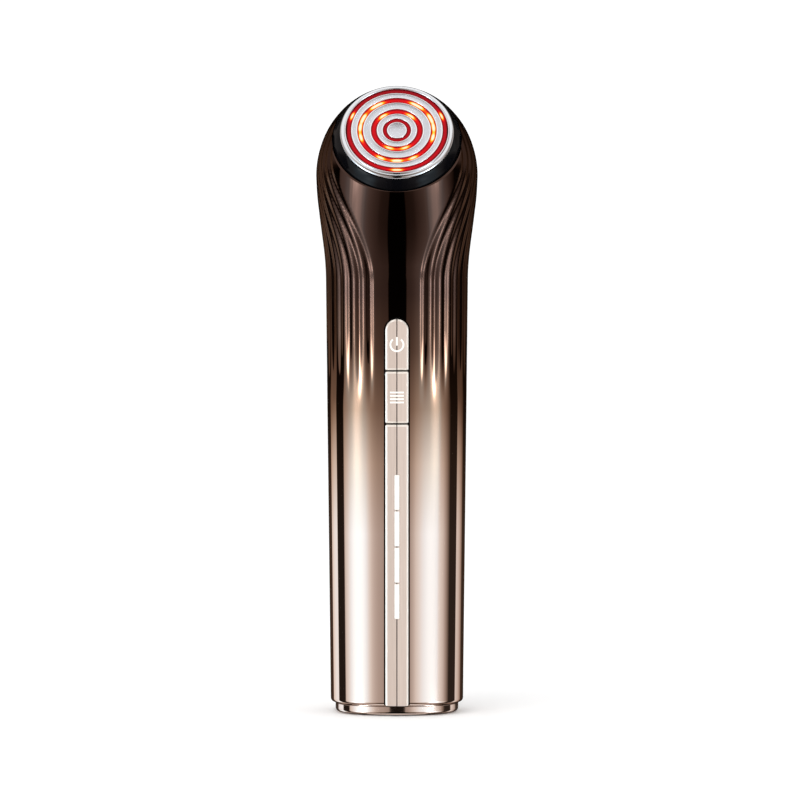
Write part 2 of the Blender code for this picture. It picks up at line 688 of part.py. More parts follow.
def make_strip():
    strip = place(
        "indicator_strip", strip_bar(INDICATOR_SPAN, STRIP_BACK), CHAMPAGNE_METALLISED,
        **strip_frame(INDICATOR_SPAN),
    )
    slots = bmesh.new()
    half_width = WINDOW_SIZE[0] / 2 + SEAT
    half_length = WINDOW_SIZE[1] / 2 + SEAT
    for z in window_heights():
        centre = front_point(z)
        half = Vector((half_width, 2 * STRIP_BACK, half_length))
        add_box(slots, centre - half, centre + half)
    combine(strip, "DIFFERENCE", place("window_slots", slots))


def make_windows():
    """Each light window is a bar in the strip with a leg that reaches back to its light."""
    width, length = WINDOW_SIZE
    leg_width, leg_length = WINDOW_LEG_SIZE
    for number, z in enumerate(window_heights(), 1):
        centre = front_point(z)
        bar = bmesh.new()
        low = (-width / 2, -STRIP_RIDGE, -length / 2)
        add_box(bar, low, (width / 2, STRIP_BACK, length / 2))
        name = f"level_window_{number}"
        window = place(name, bar, WHITE_DIFFUSER, centre, (grip_lean(), 0, 0))
        leg = bmesh.new()
        tip = INDICATOR_LED_FRONT - GAP - centre.y
        add_box(leg, (-leg_width / 2, 0, -leg_length / 2), (leg_width / 2, tip, leg_length / 2))
        combine(window, "UNION", place(name + "_leg", leg, parent=window))


def make_board():
    board = bmesh.new()
    low = (-BOARD_HALF_WIDTH, BOARD_FRONT, BOARD_SPAN[0])
    add_box(board, low, (BOARD_HALF_WIDTH, BOARD_BACK, BOARD_SPAN[1]))
    item = place("main_board", board, GREEN_BOARD)
    holes = bmesh.new()
    for x, z in board_screw_places():
        add_rod(holes, (x, 2 * BOARD_FRONT, z), (x, 0, z), SCREW_HOLE_RADIUS)
    combine(item, "DIFFERENCE", place("board_holes", holes))
    for number, (x, z) in enumerate(board_screw_places(), 1):
        place(
            f"board_screw_{number}", screw(BOARD_SCREW_LENGTH), ZINC_STEEL,
            (x, BOARD_FRONT - SEAT, z), (-math.pi / 2, 0, 0),
        )


def board_screw_places():
    return [(side * BOARD_SCREW_X, z) for z in BOARD_SCREW_HEIGHTS for side in (-1, 1)]


def make_components():
    """The larger parts soldered to the board, on its front unless they are too deep."""
    front = BOARD_FRONT - SEAT
    back = BOARD_BACK + SEAT
    low = (CHIP_SPAN_X[0], front - CHIP_HEIGHT, CHIP_SPAN_Z[0])
    chip = rounded_box(low, (CHIP_SPAN_X[1], front, CHIP_SPAN_Z[1]), SEAT)
    place("controller_chip", chip, BLACK_PACKAGE)
    low = (-TRANSFORMER_HALF_WIDTH, back, TRANSFORMER_SPAN[0])
    high = (TRANSFORMER_HALF_WIDTH, back + TRANSFORMER_DEPTH, TRANSFORMER_SPAN[1])
    place("rf_transformer", rounded_box(low, high, MM), COPPER_WINDING)
    sounder = turned([
        (0, 0), (BUZZER_RADIUS, 0), (BUZZER_RADIUS, BUZZER_DEPTH - BUZZER_EDGE),
        (BUZZER_RADIUS - BUZZER_EDGE, BUZZER_DEPTH), (0, BUZZER_DEPTH),
    ], SMALL_SIDES)
    x, z = BUZZER_PLACE
    place("buzzer", sounder, BLACK_PACKAGE, (x, front, z), (math.pi / 2, 0, 0))
    for number, z in enumerate(window_heights(), 1):
        half = INDICATOR_LED_HALF_SIZE
        package = rounded_box((-half, INDICATOR_LED_FRONT, z - half), (half, front, z + half), SEAT)
        place(f"indicator_led_{number}", package, WHITE_DIFFUSER)


def make_switch(name, z):
    """A push switch on the board. Its stem slides in a bore."""
    half = SWITCH_HALF_WIDTH
    low = (-half, SWITCH_FRONT, z - half)
    body = rounded_box(low, (half, BOARD_FRONT - SEAT, z + half), GAP)
    switch = place(name, body, BLACK_PACKAGE)
    bore = bmesh.new()
    add_rod(bore, (0, SWITCH_FRONT - MM, z), (0, SWITCH_BORE_END, z), SWITCH_BORE_RADIUS)
    combine(switch, "DIFFERENCE", place(name + "_bore", bore))
    stem = turned([
        (0, 0), (STEM_RADIUS, 0), (STEM_RADIUS, STEM_BACK - STEM_FRONT - GAP),
        (STEM_RADIUS - GAP, STEM_BACK - STEM_FRONT), (0, STEM_BACK - STEM_FRONT),
    ], sides=SMALL_SIDES)
    place(name + "_stem", stem, GREY_NYLON, (0, STEM_FRONT, z), (-math.pi / 2, 0, 0))


def make_frame():
    """The chassis: a plate with board posts, two battery cradles and two feet for the base screws."""
    plate = bmesh.new()
    low = (-PLATE_HALF_WIDTH, PLATE_FRONT, PLATE_SPAN[0])
    add_box(plate, low, (PLATE_HALF_WIDTH, PLATE_BACK, PLATE_SPAN[1]))
    frame = place("inner_frame", plate, GREY_NYLON)
    joined = bmesh.new()
    overlap = centre_of((PLATE_FRONT, PLATE_BACK))
    for x, z in board_screw_places():
        add_rod(joined, (x, BOARD_BACK + GAP, z), (x, overlap, z), BOARD_POST_RADIUS)
    for z in CRADLE_HEIGHTS:
        high = (CRADLE_HALF_WIDTH, BATTERY_Y, z + CRADLE_THICKNESS)
        add_box(joined, (-CRADLE_HALF_WIDTH, overlap, z), high)
    for side in (-1, 1):
        x = side * BASE_SCREW_X
        low = (x - SCREW_FOOT_HALF_WIDTH, overlap, SCREW_FOOT_SPAN[0])
        high = (x + SCREW_FOOT_HALF_WIDTH, 2 * BASE_SCREW_Y, SCREW_FOOT_SPAN[1])
        add_box(joined, low, high)
    combine(frame, "UNION", place("frame_posts", joined))
    holes = bmesh.new()
    for x, z in board_screw_places():
        add_rod(holes, (x, 2 * BOARD_FRONT, z), (x, 0, z), SCREW_HOLE_RADIUS)
    for side in (-1, 1):
        foot = Vector((side * BASE_SCREW_X, BASE_SCREW_Y, 0))
        add_rod(holes, foot, foot + Vector((0, 0, 2 * BASE_SCREW_LENGTH)), SCREW_HOLE_RADIUS)
    bottom = Vector((0, BATTERY_Y, BATTERY_SPAN[0]))
    top = Vector((0, BATTERY_Y, BATTERY_SPAN[1]))
    add_rod(holes, bottom, top, BATTERY_RADIUS + GAP, 24)
    combine(frame, "DIFFERENCE", place("frame_holes", holes))


def make_battery():
    length = BATTERY_SPAN[1] - BATTERY_SPAN[0]
    cell = turned([
        (0, 0), (BATTERY_RADIUS - BATTERY_EDGE, 0), (BATTERY_RADIUS, BATTERY_EDGE),
        (BATTERY_RADIUS, length - BATTERY_EDGE), (BATTERY_RADIUS - BATTERY_EDGE, length),
        (0, length),
    ])
    place("battery", cell, BLUE_SLEEVE, (0, BATTERY_Y, BATTERY_SPAN[0]))
    inner = BATTERY_RADIUS + GAP
    outer = inner + STRAP_THICKNESS
    half = STRAP_HALF_WIDTH
    band = turned([(inner, -half), (outer, -half), (outer, half), (inner, half)])
    place("battery_strap", band, BLACK_RUBBER, (0, BATTERY_Y, centre_of(BATTERY_SPAN)))


def lead(name, side, route, radius, finish):
    """An insulated lead: a round tube along a smooth curve through the route's points."""
    route = [Vector((side * x, y, z)) for x, y, z in route]
    ends = [route[0] * 2 - route[1], *route, route[-1] * 2 - route[-2]]
    points = [route[0]]
    for before, start, end, after in zip(ends, ends[1:], ends[2:], ends[3:]):
        first = start + (end - before) / 6
        second = end - (after - start) / 6
        points += interpolate_bezier(start, first, second, end, 3)[1:]
    curve = bpy.data.curves.new(name, "CURVE")
    curve.dimensions = "3D"
    curve.bevel_depth = radius
    curve.bevel_resolution = 2
    curve.use_fill_caps = True
    spline = curve.splines.new("POLY")
    spline.points.add(len(points) - 1)
    for target, point in zip(spline.points, points):
        target.co = (*point, 1)
    curve.materials.append(make_material(name, finish))
    bpy.context.collection.objects.link(bpy.data.objects.new(name, curve))


def make_leads():
    """Battery leads run from the pack's top to the board; charge leads from the base contacts."""
    for side, name, finish in ((-1, "negative", BLACK_WIRE), (1, "positive", RED_WIRE)):
        lead(f"battery_lead_{name}", side, BATTERY_LEAD_ROUTE, BATTERY_LEAD_RADIUS, finish)
    for side, name, finish in ((-1, "left", BLACK_WIRE), (1, "right", RED_WIRE)):
        lead(f"charge_lead_{name}", side, CHARGE_LEAD_ROUTE, CHARGE_LEAD_RADIUS, finish)


def make_ribbon():
    """A flat flexible cable from the board's top edge up through the carrier's slot."""
    turn = Matrix.Rotation(math.pi / 2 - HEAD_TILT, 3, "X")
    slot = [FACE_CENTRE + turn @ Vector((0, RIBBON_SLOT_Y, z * MM)) for z in (-13, -11.5, -7.2)]
    low = [Vector((0, BOARD_FRONT - 2 * GAP, z * MM)) for z in (130, 138)]
    path = [*low, Vector((0, -10.5 * MM, 150 * MM)), Vector((0, -8.6 * MM, 163 * MM)), *slot]
    near = []
    far = []
    for before, here, after in zip([path[0], *path], path, [*path[1:], path[-1]]):
        along = (after - before).normalized()
        across = Vector((0, along.z, -along.y)) * RIBBON_HALF_THICKNESS
        near.append(here + across)
        far.append(here - across)
    outline = [point - Vector((RIBBON_HALF_WIDTH, 0, 0)) for point in near + far[::-1]]
    place("head_ribbon", extruded(outline, (2 * RIBBON_HALF_WIDTH, 0, 0)), AMBER_FILM)


def base_ring(inset, z):
    depth = GRIP_DEPTH_RATIO * BASE_HALF_WIDTH - inset
    return oval(BASE_HALF_WIDTH - inset, depth, depth, GRIP_SQUARENESS, z, BASE_SIDES)


def base_rings(profile):
    return [base_ring(inset, z) for inset, z in profile]


def make_base():
    """The cap plugs the casing's bottom. Its underside holds the pad, and its plug a seal."""
    cap = place("base_cap", loft(base_rings(CAP_SECTION)), CHAMPAGNE_METALLISED)
    holes = bmesh.new()
    shanks = bmesh.new()
    reach = Vector((0, 0, 2 * CASING_BOTTOM))
    for side in (-1, 1):
        foot = Vector((side * BASE_SCREW_X, BASE_SCREW_Y, 0))
        seat = foot + Vector((0, 0, BASE_SCREW_SEAT))
        add_rod(holes, foot, seat, SCREW_HEAD_RADIUS + GAP, 20)
        add_rod(shanks, foot, foot + reach, SCREW_HOLE_RADIUS)
        contact = Vector((side * CONTACT_X, CONTACT_Y, 0))
        add_rod(holes, contact, contact + reach, CONTACT_RADIUS + GAP)
    combine(cap, "DIFFERENCE", place("cap_holes", holes))
    combine(cap, "DIFFERENCE", place("cap_screw_holes", shanks))
    place("base_gasket", loft(base_rings(SEAL_SECTION), True), BLACK_RUBBER)
    pad = place("base_pad", loft(base_rings(PAD_SECTION)), BLACK_RUBBER)
    openings = bmesh.new()
    for side in (-1, 1):
        contact = Vector((side * CONTACT_X, CONTACT_Y, -MM))
        add_rod(openings, contact, contact + reach, CONTACT_RADIUS + 2 * GAP)
    combine(pad, "DIFFERENCE", place("pad_holes", openings))


def make_base_hardware():
    for side, name in ((-1, "left"), (1, "right")):
        foot = (side * BASE_SCREW_X, BASE_SCREW_Y, BASE_SCREW_SEAT - SEAT)
        place(f"base_screw_{name}", screw(BASE_SCREW_LENGTH), ZINC_STEEL, foot)
        length = CONTACT_SPAN[1] - CONTACT_SPAN[0]
        pin = turned([
            (0, 0), (CONTACT_RADIUS - GAP, 0), (CONTACT_RADIUS, GAP), (CONTACT_RADIUS, length),
            (0, length),
        ], sides=SMALL_SIDES)
        contact = (side * CONTACT_X, CONTACT_Y, CONTACT_SPAN[0])
        place(f"charge_contact_{name}", pin, GOLD_PLATE, contact)


def main():
    clear_scene()
    head_axis = bpy.data.objects.new("head_axis", None)
    head_axis.location = FACE_CENTRE
    head_axis.rotation_euler = (math.pi / 2 - HEAD_TILT, 0, 0)
    bpy.context.collection.objects.link(head_axis)
    make_shells(head_axis)
    make_bezel(head_axis)
    make_collar(head_axis)
    make_electrodes(head_axis)
    make_lens(head_axis)
    make_carrier(head_axis)
    make_led_board(head_axis)
    make_keys()
    make_strip()
    make_windows()
    make_board()
    make_components()
    make_switch("power_switch", centre_of(POWER_KEY_SPAN))
    make_switch("level_switch", centre_of(LEVEL_KEY_SPAN))
    make_frame()
    make_battery()
    make_leads()
    make_ribbon()
    make_base()
    make_base_hardware()


main()
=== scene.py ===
"""Looks of the facial care wand: detailed pieces and finishes around the packed frame."""

import json
import math

import bmesh
import bpy
import numpy as np
from bpy.props import FloatProperty, FloatVectorProperty, IntProperty, PointerProperty
from mathutils import Matrix, Vector


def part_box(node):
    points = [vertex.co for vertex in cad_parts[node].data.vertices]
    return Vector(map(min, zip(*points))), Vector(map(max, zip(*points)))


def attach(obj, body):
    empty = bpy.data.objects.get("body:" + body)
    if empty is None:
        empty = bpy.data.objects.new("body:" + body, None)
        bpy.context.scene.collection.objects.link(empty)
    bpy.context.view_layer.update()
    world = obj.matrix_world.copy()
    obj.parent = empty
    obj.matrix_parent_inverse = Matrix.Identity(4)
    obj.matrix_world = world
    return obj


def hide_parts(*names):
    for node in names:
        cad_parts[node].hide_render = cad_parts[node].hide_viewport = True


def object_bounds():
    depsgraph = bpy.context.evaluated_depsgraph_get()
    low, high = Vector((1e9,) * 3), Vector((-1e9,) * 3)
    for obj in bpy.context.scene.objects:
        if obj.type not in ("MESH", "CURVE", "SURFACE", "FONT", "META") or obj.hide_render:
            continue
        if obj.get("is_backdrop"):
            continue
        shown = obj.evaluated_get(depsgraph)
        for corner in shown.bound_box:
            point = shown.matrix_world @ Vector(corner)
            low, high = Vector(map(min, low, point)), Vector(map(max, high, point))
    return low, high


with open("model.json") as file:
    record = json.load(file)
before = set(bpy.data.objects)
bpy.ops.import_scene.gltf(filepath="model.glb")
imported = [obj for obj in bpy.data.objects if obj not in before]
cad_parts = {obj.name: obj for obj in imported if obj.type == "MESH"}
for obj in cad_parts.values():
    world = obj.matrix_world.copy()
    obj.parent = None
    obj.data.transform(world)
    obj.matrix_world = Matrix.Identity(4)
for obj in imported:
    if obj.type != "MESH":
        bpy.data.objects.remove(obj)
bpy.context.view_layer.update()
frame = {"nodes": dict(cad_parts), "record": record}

bl_info = {
    "name": "Facial Care Wand",
    "version": (1, 0, 0),
    "blender": (4, 5, 0),
    "location": "3D View > Sidebar > Wand",
    "description": "Builds the visible pieces and finishes of a facial care wand",
    "category": "Object",
}

MM = 0.001
BODY = "casing"

# Casing: the same oval tube and domed head as the frame's shells.
HEIGHT = 200 * MM
CASING_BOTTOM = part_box("front_shell")[0].z
WALL = 2.2 * MM
BOTTOM_ROUND = 1 * MM
BOTTOM_HALF_WIDTH = 21.2 * MM
GRIP_HALF_WIDTH = 22.7 * MM
HEAD_HALF_WIDTH = 25.8 * MM
GRIP_DEPTH_RATIO = 0.9
HEAD_FRONT = 27 * MM
HEAD_BACK = 24.5 * MM
TAPER_START = 4 * MM
GRIP_TOP = 138 * MM
HEAD_SIDES_FULL = 172 * MM
HEAD_FRONT_FULL = 184 * MM
DOME_START = 171.4 * MM
DOME_HEIGHT = HEIGHT - DOME_START
GRIP_SQUARENESS = 2.5
HEAD_SQUARENESS = 2.15
PARTING_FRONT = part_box("front_shell")[1].y
PARTING_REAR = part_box("rear_shell")[0].y
CASING_SIDES = 540
TONGUE_INSET = 1.2 * MM
TONGUE_GAP = 0.03 * MM
# The plain front panel takes this share of the half-width on the grip and at its top.
PANEL_SHARE = (0.38, 0.85)
PANEL_TOP = 180 * MM
OUTLINE_SAMPLES = 1440
PLAIN_TOP = 74 * MM
# Pleats deepen upwards from the first height, each starting a little above the one before.
PLEAT_START = 96 * MM
PLEAT_STAGGER = 0.8 * MM
PLEAT_RISE = 26 * MM
PLEAT_FADE = (184 * MM, 197 * MM)
SATIN_RISE = (116 * MM, 134 * MM)
SATIN_EDGE = (-2.4 * MM, -0.6 * MM)
RIB_SPAN = (10 * MM, 131 * MM)

# Head: local +Z looks out of the treatment face, and local +Y runs up it.
MOUNTS = {mount["name"]: mount for mount in frame["record"]["mounts"]}
FACE_CENTRE = Vector(MOUNTS["treatment_face"]["pos_m"])
FACE_NORMAL = Vector(MOUNTS["treatment_face"]["axis"])
FACE_LEAN = math.atan2(-FACE_NORMAL.y, FACE_NORMAL.z)
RIM_DEPTH = 4.3 * MM
OPENING_RADIUS = 20.6 * MM
OPENING_DEPTH = 10 * MM
OPENING_CHAMFER = 0.2 * MM
COLLAR_RADIUS = 20.3 * MM
COLLAR_NECK_RADIUS = 18.35 * MM
COLLAR_INNER_RADIUS = 17 * MM
COLLAR_TOP = -1.4 * MM
COLLAR_SHOULDER = (19.45 * MM, -3.5 * MM)
COLLAR_RIM = -5.4 * MM
COLLAR_BOTTOM = -9 * MM
COLLAR_LIP = 0.2 * MM
COLLAR_EDGE = 0.6 * MM
SEAL_GROOVE = (19.7 * MM, -6.6 * MM, -7.8 * MM)
BEZEL_INNER_RADIUS = 16.15 * MM
BEZEL_FLARE_RADIUS = 18.05 * MM
BEZEL_FLARE_DEPTH = 1.1 * MM
BEZEL_GROOVE = (0.15 * MM, 0.12 * MM)
BEZEL_BOTTOM = -4.5 * MM
BEZEL_LIP = 0.3 * MM
BEZEL_SEAT_GAP = 0.3 * MM
FLARE_FULLNESS = 0.8
LENS_RADIUS = 15.85 * MM
LENS_TOP = -0.3 * MM
LENS_BOTTOM = -2.6 * MM
ELECTRODE_THICKNESS = 1.2 * MM
ELECTRODE_GAP = 0.1 * MM
ELECTRODE_EDGE = 0.12 * MM
ELECTRODE_RIM = 0.3 * MM
ELECTRODE_STEP = 0.05 * MM
ELECTRODE_SINK = 0.03 * MM
CENTRE_ELECTRODE_RADIUS = 3.15 * MM
ELECTRODE_RINGS = {
    "ring_electrode_inner": (4.45 * MM, 6.4 * MM, 90),
    "ring_electrode_middle": (8.2 * MM, 10.75 * MM, 210),
    "ring_electrode_outer": (12.55 * MM, 14.5 * MM, 330),
}
LEG_RADIUS = 0.7 * MM
LEG_END = -5.1 * MM
FACE_SIDES = 144
# Emitters that show through the lens: circle radius, angles round the face, and strength.
EMITTERS = (
    (15.3 * MM, (22, 158), 0.75),
    (15.4 * MM, (270,), 0.95),
    (11.7 * MM, (24, 156), 1.2),
    (11.8 * MM, (52, 62, 118, 128), 0.62),
    (11.7 * MM, (6, 174, -13, 193), 0.72),
    (11.9 * MM, (244, 296), 0.65),
    (11.9 * MM, (270,), 1.0),
    (6.9 * MM, (52, 128), 0.75),
    (6.9 * MM, (250, 291), 0.6),
)
EMITTER_WIDTH = 0.75 * MM
EMITTER_LENGTH = 1.4 * MM
LENS_EDGE = 0.5 * MM

# Front strip.
STRIP_HALF_WIDTH = 3.62 * MM
STRIP_CHAMFER = 0.55 * MM
STRIP_RIDGE = 0.55 * MM
STRIP_EDGE = 0.1 * MM
STRIP_BACK = 1.1 * MM
STRIP_SEAM_HALF_WIDTH = 0.15 * MM
STRIP_SEAM_DEPTH = 0.3 * MM
STRIP_CORNER = 0.45 * MM
FACET_ANGLE = 7
RECESS_GAP = 0.5 * MM
RECESS_DEPTH = 1.5 * MM
FLOOR_THICKNESS = 1.5 * MM
FLOOR_HALF_WIDTH = 7 * MM
WINDOW_TRIM = 0.16 * MM
WINDOW_BEVEL = 0.18 * MM
WINDOW_PINCH = 0.04 * MM
WINDOW_LEG = (0.5 * MM, 3.5 * MM)
LEG_GAP = 0.3 * MM
PRINT_THICKNESS = 0.03 * MM
KEY_BACK = 0.6 * MM
PLUNGER_RADIUS = 1.5 * MM
PLUNGER_HOLE_RADIUS = 1.9 * MM

# Base.
BASE_HALF_WIDTH = 19.65 * MM
BASE_SIDES = 160
# Cap and pad sections as (inset, height) in millimetres, from inside the foot to the neck.
CAP_INSIDE = ((2, 1.2), (2, 0.3))
CAP_OUTSIDE = (
    (0, 1.36), (0, 2.89), (0, 2.95), (0.05, 3.06), (0.15, 3.1), (1.05, 3.1), (1.05, 4.7),
    (1.95, 4.7), (1.95, 6.3), (1.05, 6.3), (1.05, 7.7), (1.35, 8), (3.2, 8), (3.2, 3.1),
)
PAD_SIDE = ((2.45, 0), (2.3, 0.12), (2.3, 0.9))
SCREW_HEAD_HOLE = 2 * MM
SCREW_SEAT = 2.3 * MM
SCREW_HOLE = 1.2 * MM
PIN_HOLE = 1.8 * MM
CAP_HOLE_TOP = 6 * MM
PAD_PIN_HOLE = 2.1 * MM


def srgb(code):
    """A hex sRGB colour as a linear one."""
    values = [int(code[start:start + 2], 16) / 255 for start in (1, 3, 5)]
    return tuple(v / 12.92 if v <= 0.04045 else ((v + 0.055) / 1.055) ** 2.4 for v in values)


# Nodes and finishes

def add_node(tree, kind, links=(), stops=(), **settings):
    """Adds a shader node. A link or value goes to the input of that name or number."""
    node = tree.nodes.new("ShaderNode" + kind)
    for name, value in settings.items():
        setattr(node, name, value)
    for key, value in dict(links).items():
        if isinstance(value, bpy.types.NodeSocket):
            tree.links.new(value, node.inputs[key])
        else:
            node.inputs[key].default_value = value
    for index, (place, colour) in enumerate(stops):
        elements = node.color_ramp.elements
        element = elements[index] if index < 2 else elements.new(place)
        element.position = place
        element.color = (*colour, 1)
    return node


def new_finish(name, colour, roughness, metallic=0.0, **sockets):
    """A material named for what the real one is, and its shader with fixed values."""
    material = bpy.data.materials.new(name)
    material.use_nodes = True
    shader = material.node_tree.nodes["Principled BSDF"]
    shader.inputs["Base Color"].default_value = (*colour, 1)
    shader.inputs["Roughness"].default_value = roughness
    shader.inputs["Metallic"].default_value = metallic
    for name, value in sockets.items():
        socket = name.replace("_", " ").title().replace("Ior", "IOR")
        shader.inputs[socket].default_value = value
    return material, shader


def add_grain(material, shader, size, depth, colour_change=0.0, stretch=(1, 1, 1), rough=0.0):
    """Noise of a real size in metres: bump, and where asked a change of colour or roughness."""
    tree = material.node_tree
    place = add_node(tree, "TexCoord").outputs["Object"]
    scaled = add_node(tree, "Mapping", {"Vector": place, "Scale": stretch}).outputs["Vector"]
    links = {"Vector": scaled, "Scale": 1 / size, "Detail": 3}
    noise = add_node(tree, "TexNoise", links).outputs["Fac"]
    bump = add_node(tree, "Bump", {"Height": noise, "Strength": 1, "Distance": depth})
    tree.links.new(bump.outputs["Normal"], shader.inputs["Normal"])
    if colour_change:
        base = Vector(shader.inputs["Base Color"].default_value[:3])
        darker = base * (1 - colour_change)
        lighter = base * (1 + colour_change)
        stops = ((0.3, darker), (0.7, lighter))
        shade = add_node(tree, "ValToRGB", {"Fac": noise}, stops).outputs["Color"]
        tree.links.new(shade, shader.inputs["Base Color"])
    if rough:
        centre = shader.inputs["Roughness"].default_value
        links = {"Value": noise, "To Min": centre - rough, "To Max": centre + rough}
        spread = add_node(tree, "MapRange", links).outputs["Result"]
        tree.links.new(spread, shader.inputs["Roughness"])
    return material


def metallised_lacquer(settings):
    """Vacuum-metallised ABS under tinted lacquer: a mirror that fades from brown to champagne.

    The pleats are left satin towards the head, so the light runs along them in soft stripes.
    """
    material, shader = new_finish(
        "vacuum metallised ABS, graded lacquer", settings.base_colour, settings.gloss, 1.0,
        coat_weight=0.06, coat_roughness=0.03, specular_tint=(*settings.edge_tint, 1),
    )
    tree = material.node_tree
    place = add_node(tree, "TexCoord").outputs["Object"]
    parts = add_node(tree, "SeparateXYZ", {"Vector": place}).outputs
    links = {"Value": parts["Z"], "From Min": settings.fade_bottom, "From Max": settings.fade_top}
    share = add_node(tree, "MapRange", links).outputs["Result"]
    stops = (
        (0.0, settings.base_colour), (1.0, settings.head_colour),
        (0.29, settings.upper_base_colour), (0.52, settings.middle_colour),
        (0.76, settings.lower_head_colour),
    )
    shade = add_node(tree, "ValToRGB", {"Fac": share}, stops).outputs["Color"]
    tree.links.new(shade, shader.inputs["Base Color"])
    links = {
        "Value": parts["Z"], "From Min": GRIP_TOP, "From Max": PANEL_TOP,
        "To Min": PANEL_SHARE[0] * GRIP_HALF_WIDTH, "To Max": PANEL_SHARE[1] * HEAD_HALF_WIDTH,
    }
    edge = add_node(tree, "MapRange", links, interpolation_type="SMOOTHSTEP").outputs["Result"]
    side = add_node(tree, "Math", {0: parts["X"]}, operation="ABSOLUTE").outputs["Value"]
    beyond = add_node(tree, "Math", {0: side, 1: edge}, operation="SUBTRACT").outputs["Value"]
    links = {"Value": beyond, "From Min": SATIN_EDGE[0], "From Max": SATIN_EDGE[1]}
    beside = add_node(tree, "MapRange", links).outputs["Result"]
    links = {"Value": parts["Z"], "From Min": SATIN_RISE[0], "From Max": SATIN_RISE[1]}
    above = add_node(tree, "MapRange", links).outputs["Result"]
    pleated = add_node(tree, "Math", {0: beside, 1: above}, operation="MULTIPLY").outputs["Value"]
    links = {"Value": pleated, "To Min": settings.gloss, "To Max": settings.pleat_satin}
    satin = add_node(tree, "MapRange", links).outputs["Result"]
    tree.links.new(satin, shader.inputs["Roughness"])
    links = {"Vector": place, "Scale": 1 / (1.6 * MM)}
    peel = add_node(tree, "TexNoise", links).outputs["Fac"]
    bump = add_node(tree, "Bump", {"Height": peel, "Strength": 1, "Distance": 0.0001 * MM})
    tree.links.new(bump.outputs["Normal"], shader.inputs["Normal"])
    return material


def champagne_lacquer(settings):
    """The same metallised ABS on the base ring, a little softer where hands and tables rub it."""
    material, shader = new_finish(
        "vacuum metallised ABS, champagne lacquer", settings.base_colour, 0.08, 1.0,
        coat_weight=0.1, coat_roughness=0.05,
    )
    return add_grain(material, shader, 1.6 * MM, 0.0001 * MM, 0.02)


def metallised_trim(settings):
    """Metallised ABS under pearl lacquer, brushed lengthwise: part mirror, part soft white."""
    material, shader = new_finish(
        "metallised ABS, brushed, pearl lacquer", settings.trim_colour, 0.08, 0.6,
    )
    stretch = (1, 1, 0.02)
    return add_grain(material, shader, 0.35 * MM, 0.0002 * MM, 0.05, stretch)


def pearl_edge_painted_highlight(settings):
    """Painted highlight on the bevels: pearl lacquer made part mirror, part diffuse white, so the
    edges stay light all round.
    """
    material, shader = new_finish(
        "metallised ABS, pearl lacquer edge", settings.edge_highlight_colour, 0.2, 0.5,
    )
    return add_grain(material, shader, 0.8 * MM, 0.0005 * MM, 0.02)


def bare_plastic_and_gap_shade():
    """Moulded ABS that the metal never reached, dark and matt inside gaps and the seam; its
    near-black also stands in as painted shade there.
    """
    material, shader = new_finish(
        "ABS, moulded, bare", srgb("#130d0b"), 0.6, specular_ior_level=0.2,
    )
    return add_grain(material, shader, 0.3 * MM, 0.004 * MM, 0.1)


def chrome_plate():
    """Bright chrome on ABS: a neutral mirror with faint polishing waves."""
    material, shader = new_finish("chrome plated ABS", srgb("#e6e7ea"), 0.1, 1.0)
    return add_grain(material, shader, 1.2 * MM, 0.0008 * MM)


def satin_plate():
    """Rhodium-plated brass, bead blasted: an even pale grey sheen."""
    material, shader = new_finish("rhodium plated brass, blasted", srgb("#dfe0e6"), 0.42, 1.0)
    return add_grain(material, shader, 0.15 * MM, 0.002 * MM, 0.03)


def polished_plate():
    """The same plating left polished on the edge that touches the skin."""
    material, shader = new_finish("rhodium plated brass, polished", srgb("#f4f4f6"), 0.12, 1.0)
    return add_grain(material, shader, 0.6 * MM, 0.0005 * MM)


def piano_black():
    """High-gloss moulded ABS: deep black with clear soft reflections."""
    material, shader = new_finish(
        "ABS, high gloss moulded", srgb("#08080b"), 0.08, specular_ior_level=0.15,
    )
    return add_grain(material, shader, 1.5 * MM, 0.0006 * MM)


def lit_polycarbonate(settings):
    """Tinted polycarbonate lit from behind. The glow attribute says how near an emitter is."""
    material, shader = new_finish(
        "polycarbonate, red tinted", settings.lens_colour, 0.3,
        specular_ior_level=0.1, emission_strength=settings.lens_glow,
    )
    tree = material.node_tree
    glow = add_node(tree, "Attribute", attribute_name="glow").outputs["Fac"]
    place = add_node(tree, "TexCoord").outputs["Object"]
    links = {"Vector": place, "Scale": 1 / (0.9 * MM), "Detail": 2}
    cloud = add_node(tree, "TexNoise", links).outputs["Fac"]
    links = {"Value": cloud, "To Min": -0.04, "To Max": 0.04}
    uneven = add_node(tree, "MapRange", links).outputs["Result"]
    level = add_node(tree, "Math", {0: glow, 1: uneven}, operation="ADD").outputs["Value"]
    stops = (
        (0.0, srgb("#200003")), (1.0, srgb("#fffbe0")), (0.3, srgb("#b8000c")),
        (0.42, srgb("#ee0c00")), (0.56, srgb("#ff7000")), (0.72, srgb("#ffdc00")),
    )
    shade = add_node(tree, "ValToRGB", {"Fac": level}, stops).outputs["Color"]
    tree.links.new(shade, shader.inputs["Emission Color"])
    return material


def milky_acrylic(settings):
    """Opal acrylic light guide: an even white glow with a soft surface."""
    material, shader = new_finish(
        "opal acrylic, lit", srgb("#8f8d88"), 0.35, specular_ior_level=0.2,
        emission_color=(*settings.window_colour, 1), emission_strength=settings.window_glow,
    )
    return add_grain(material, shader, 0.5 * MM, 0.001 * MM, 0.01)


def white_ink(settings):
    """Pad-printed ink: matt, with a little unevenness from the printing pad."""
    material, shader = new_finish(
        "pad printed ink", settings.ink_colour, 0.5, specular_ior_level=0.2,
    )
    return add_grain(material, shader, 0.2 * MM, 0.001 * MM, 0.02)


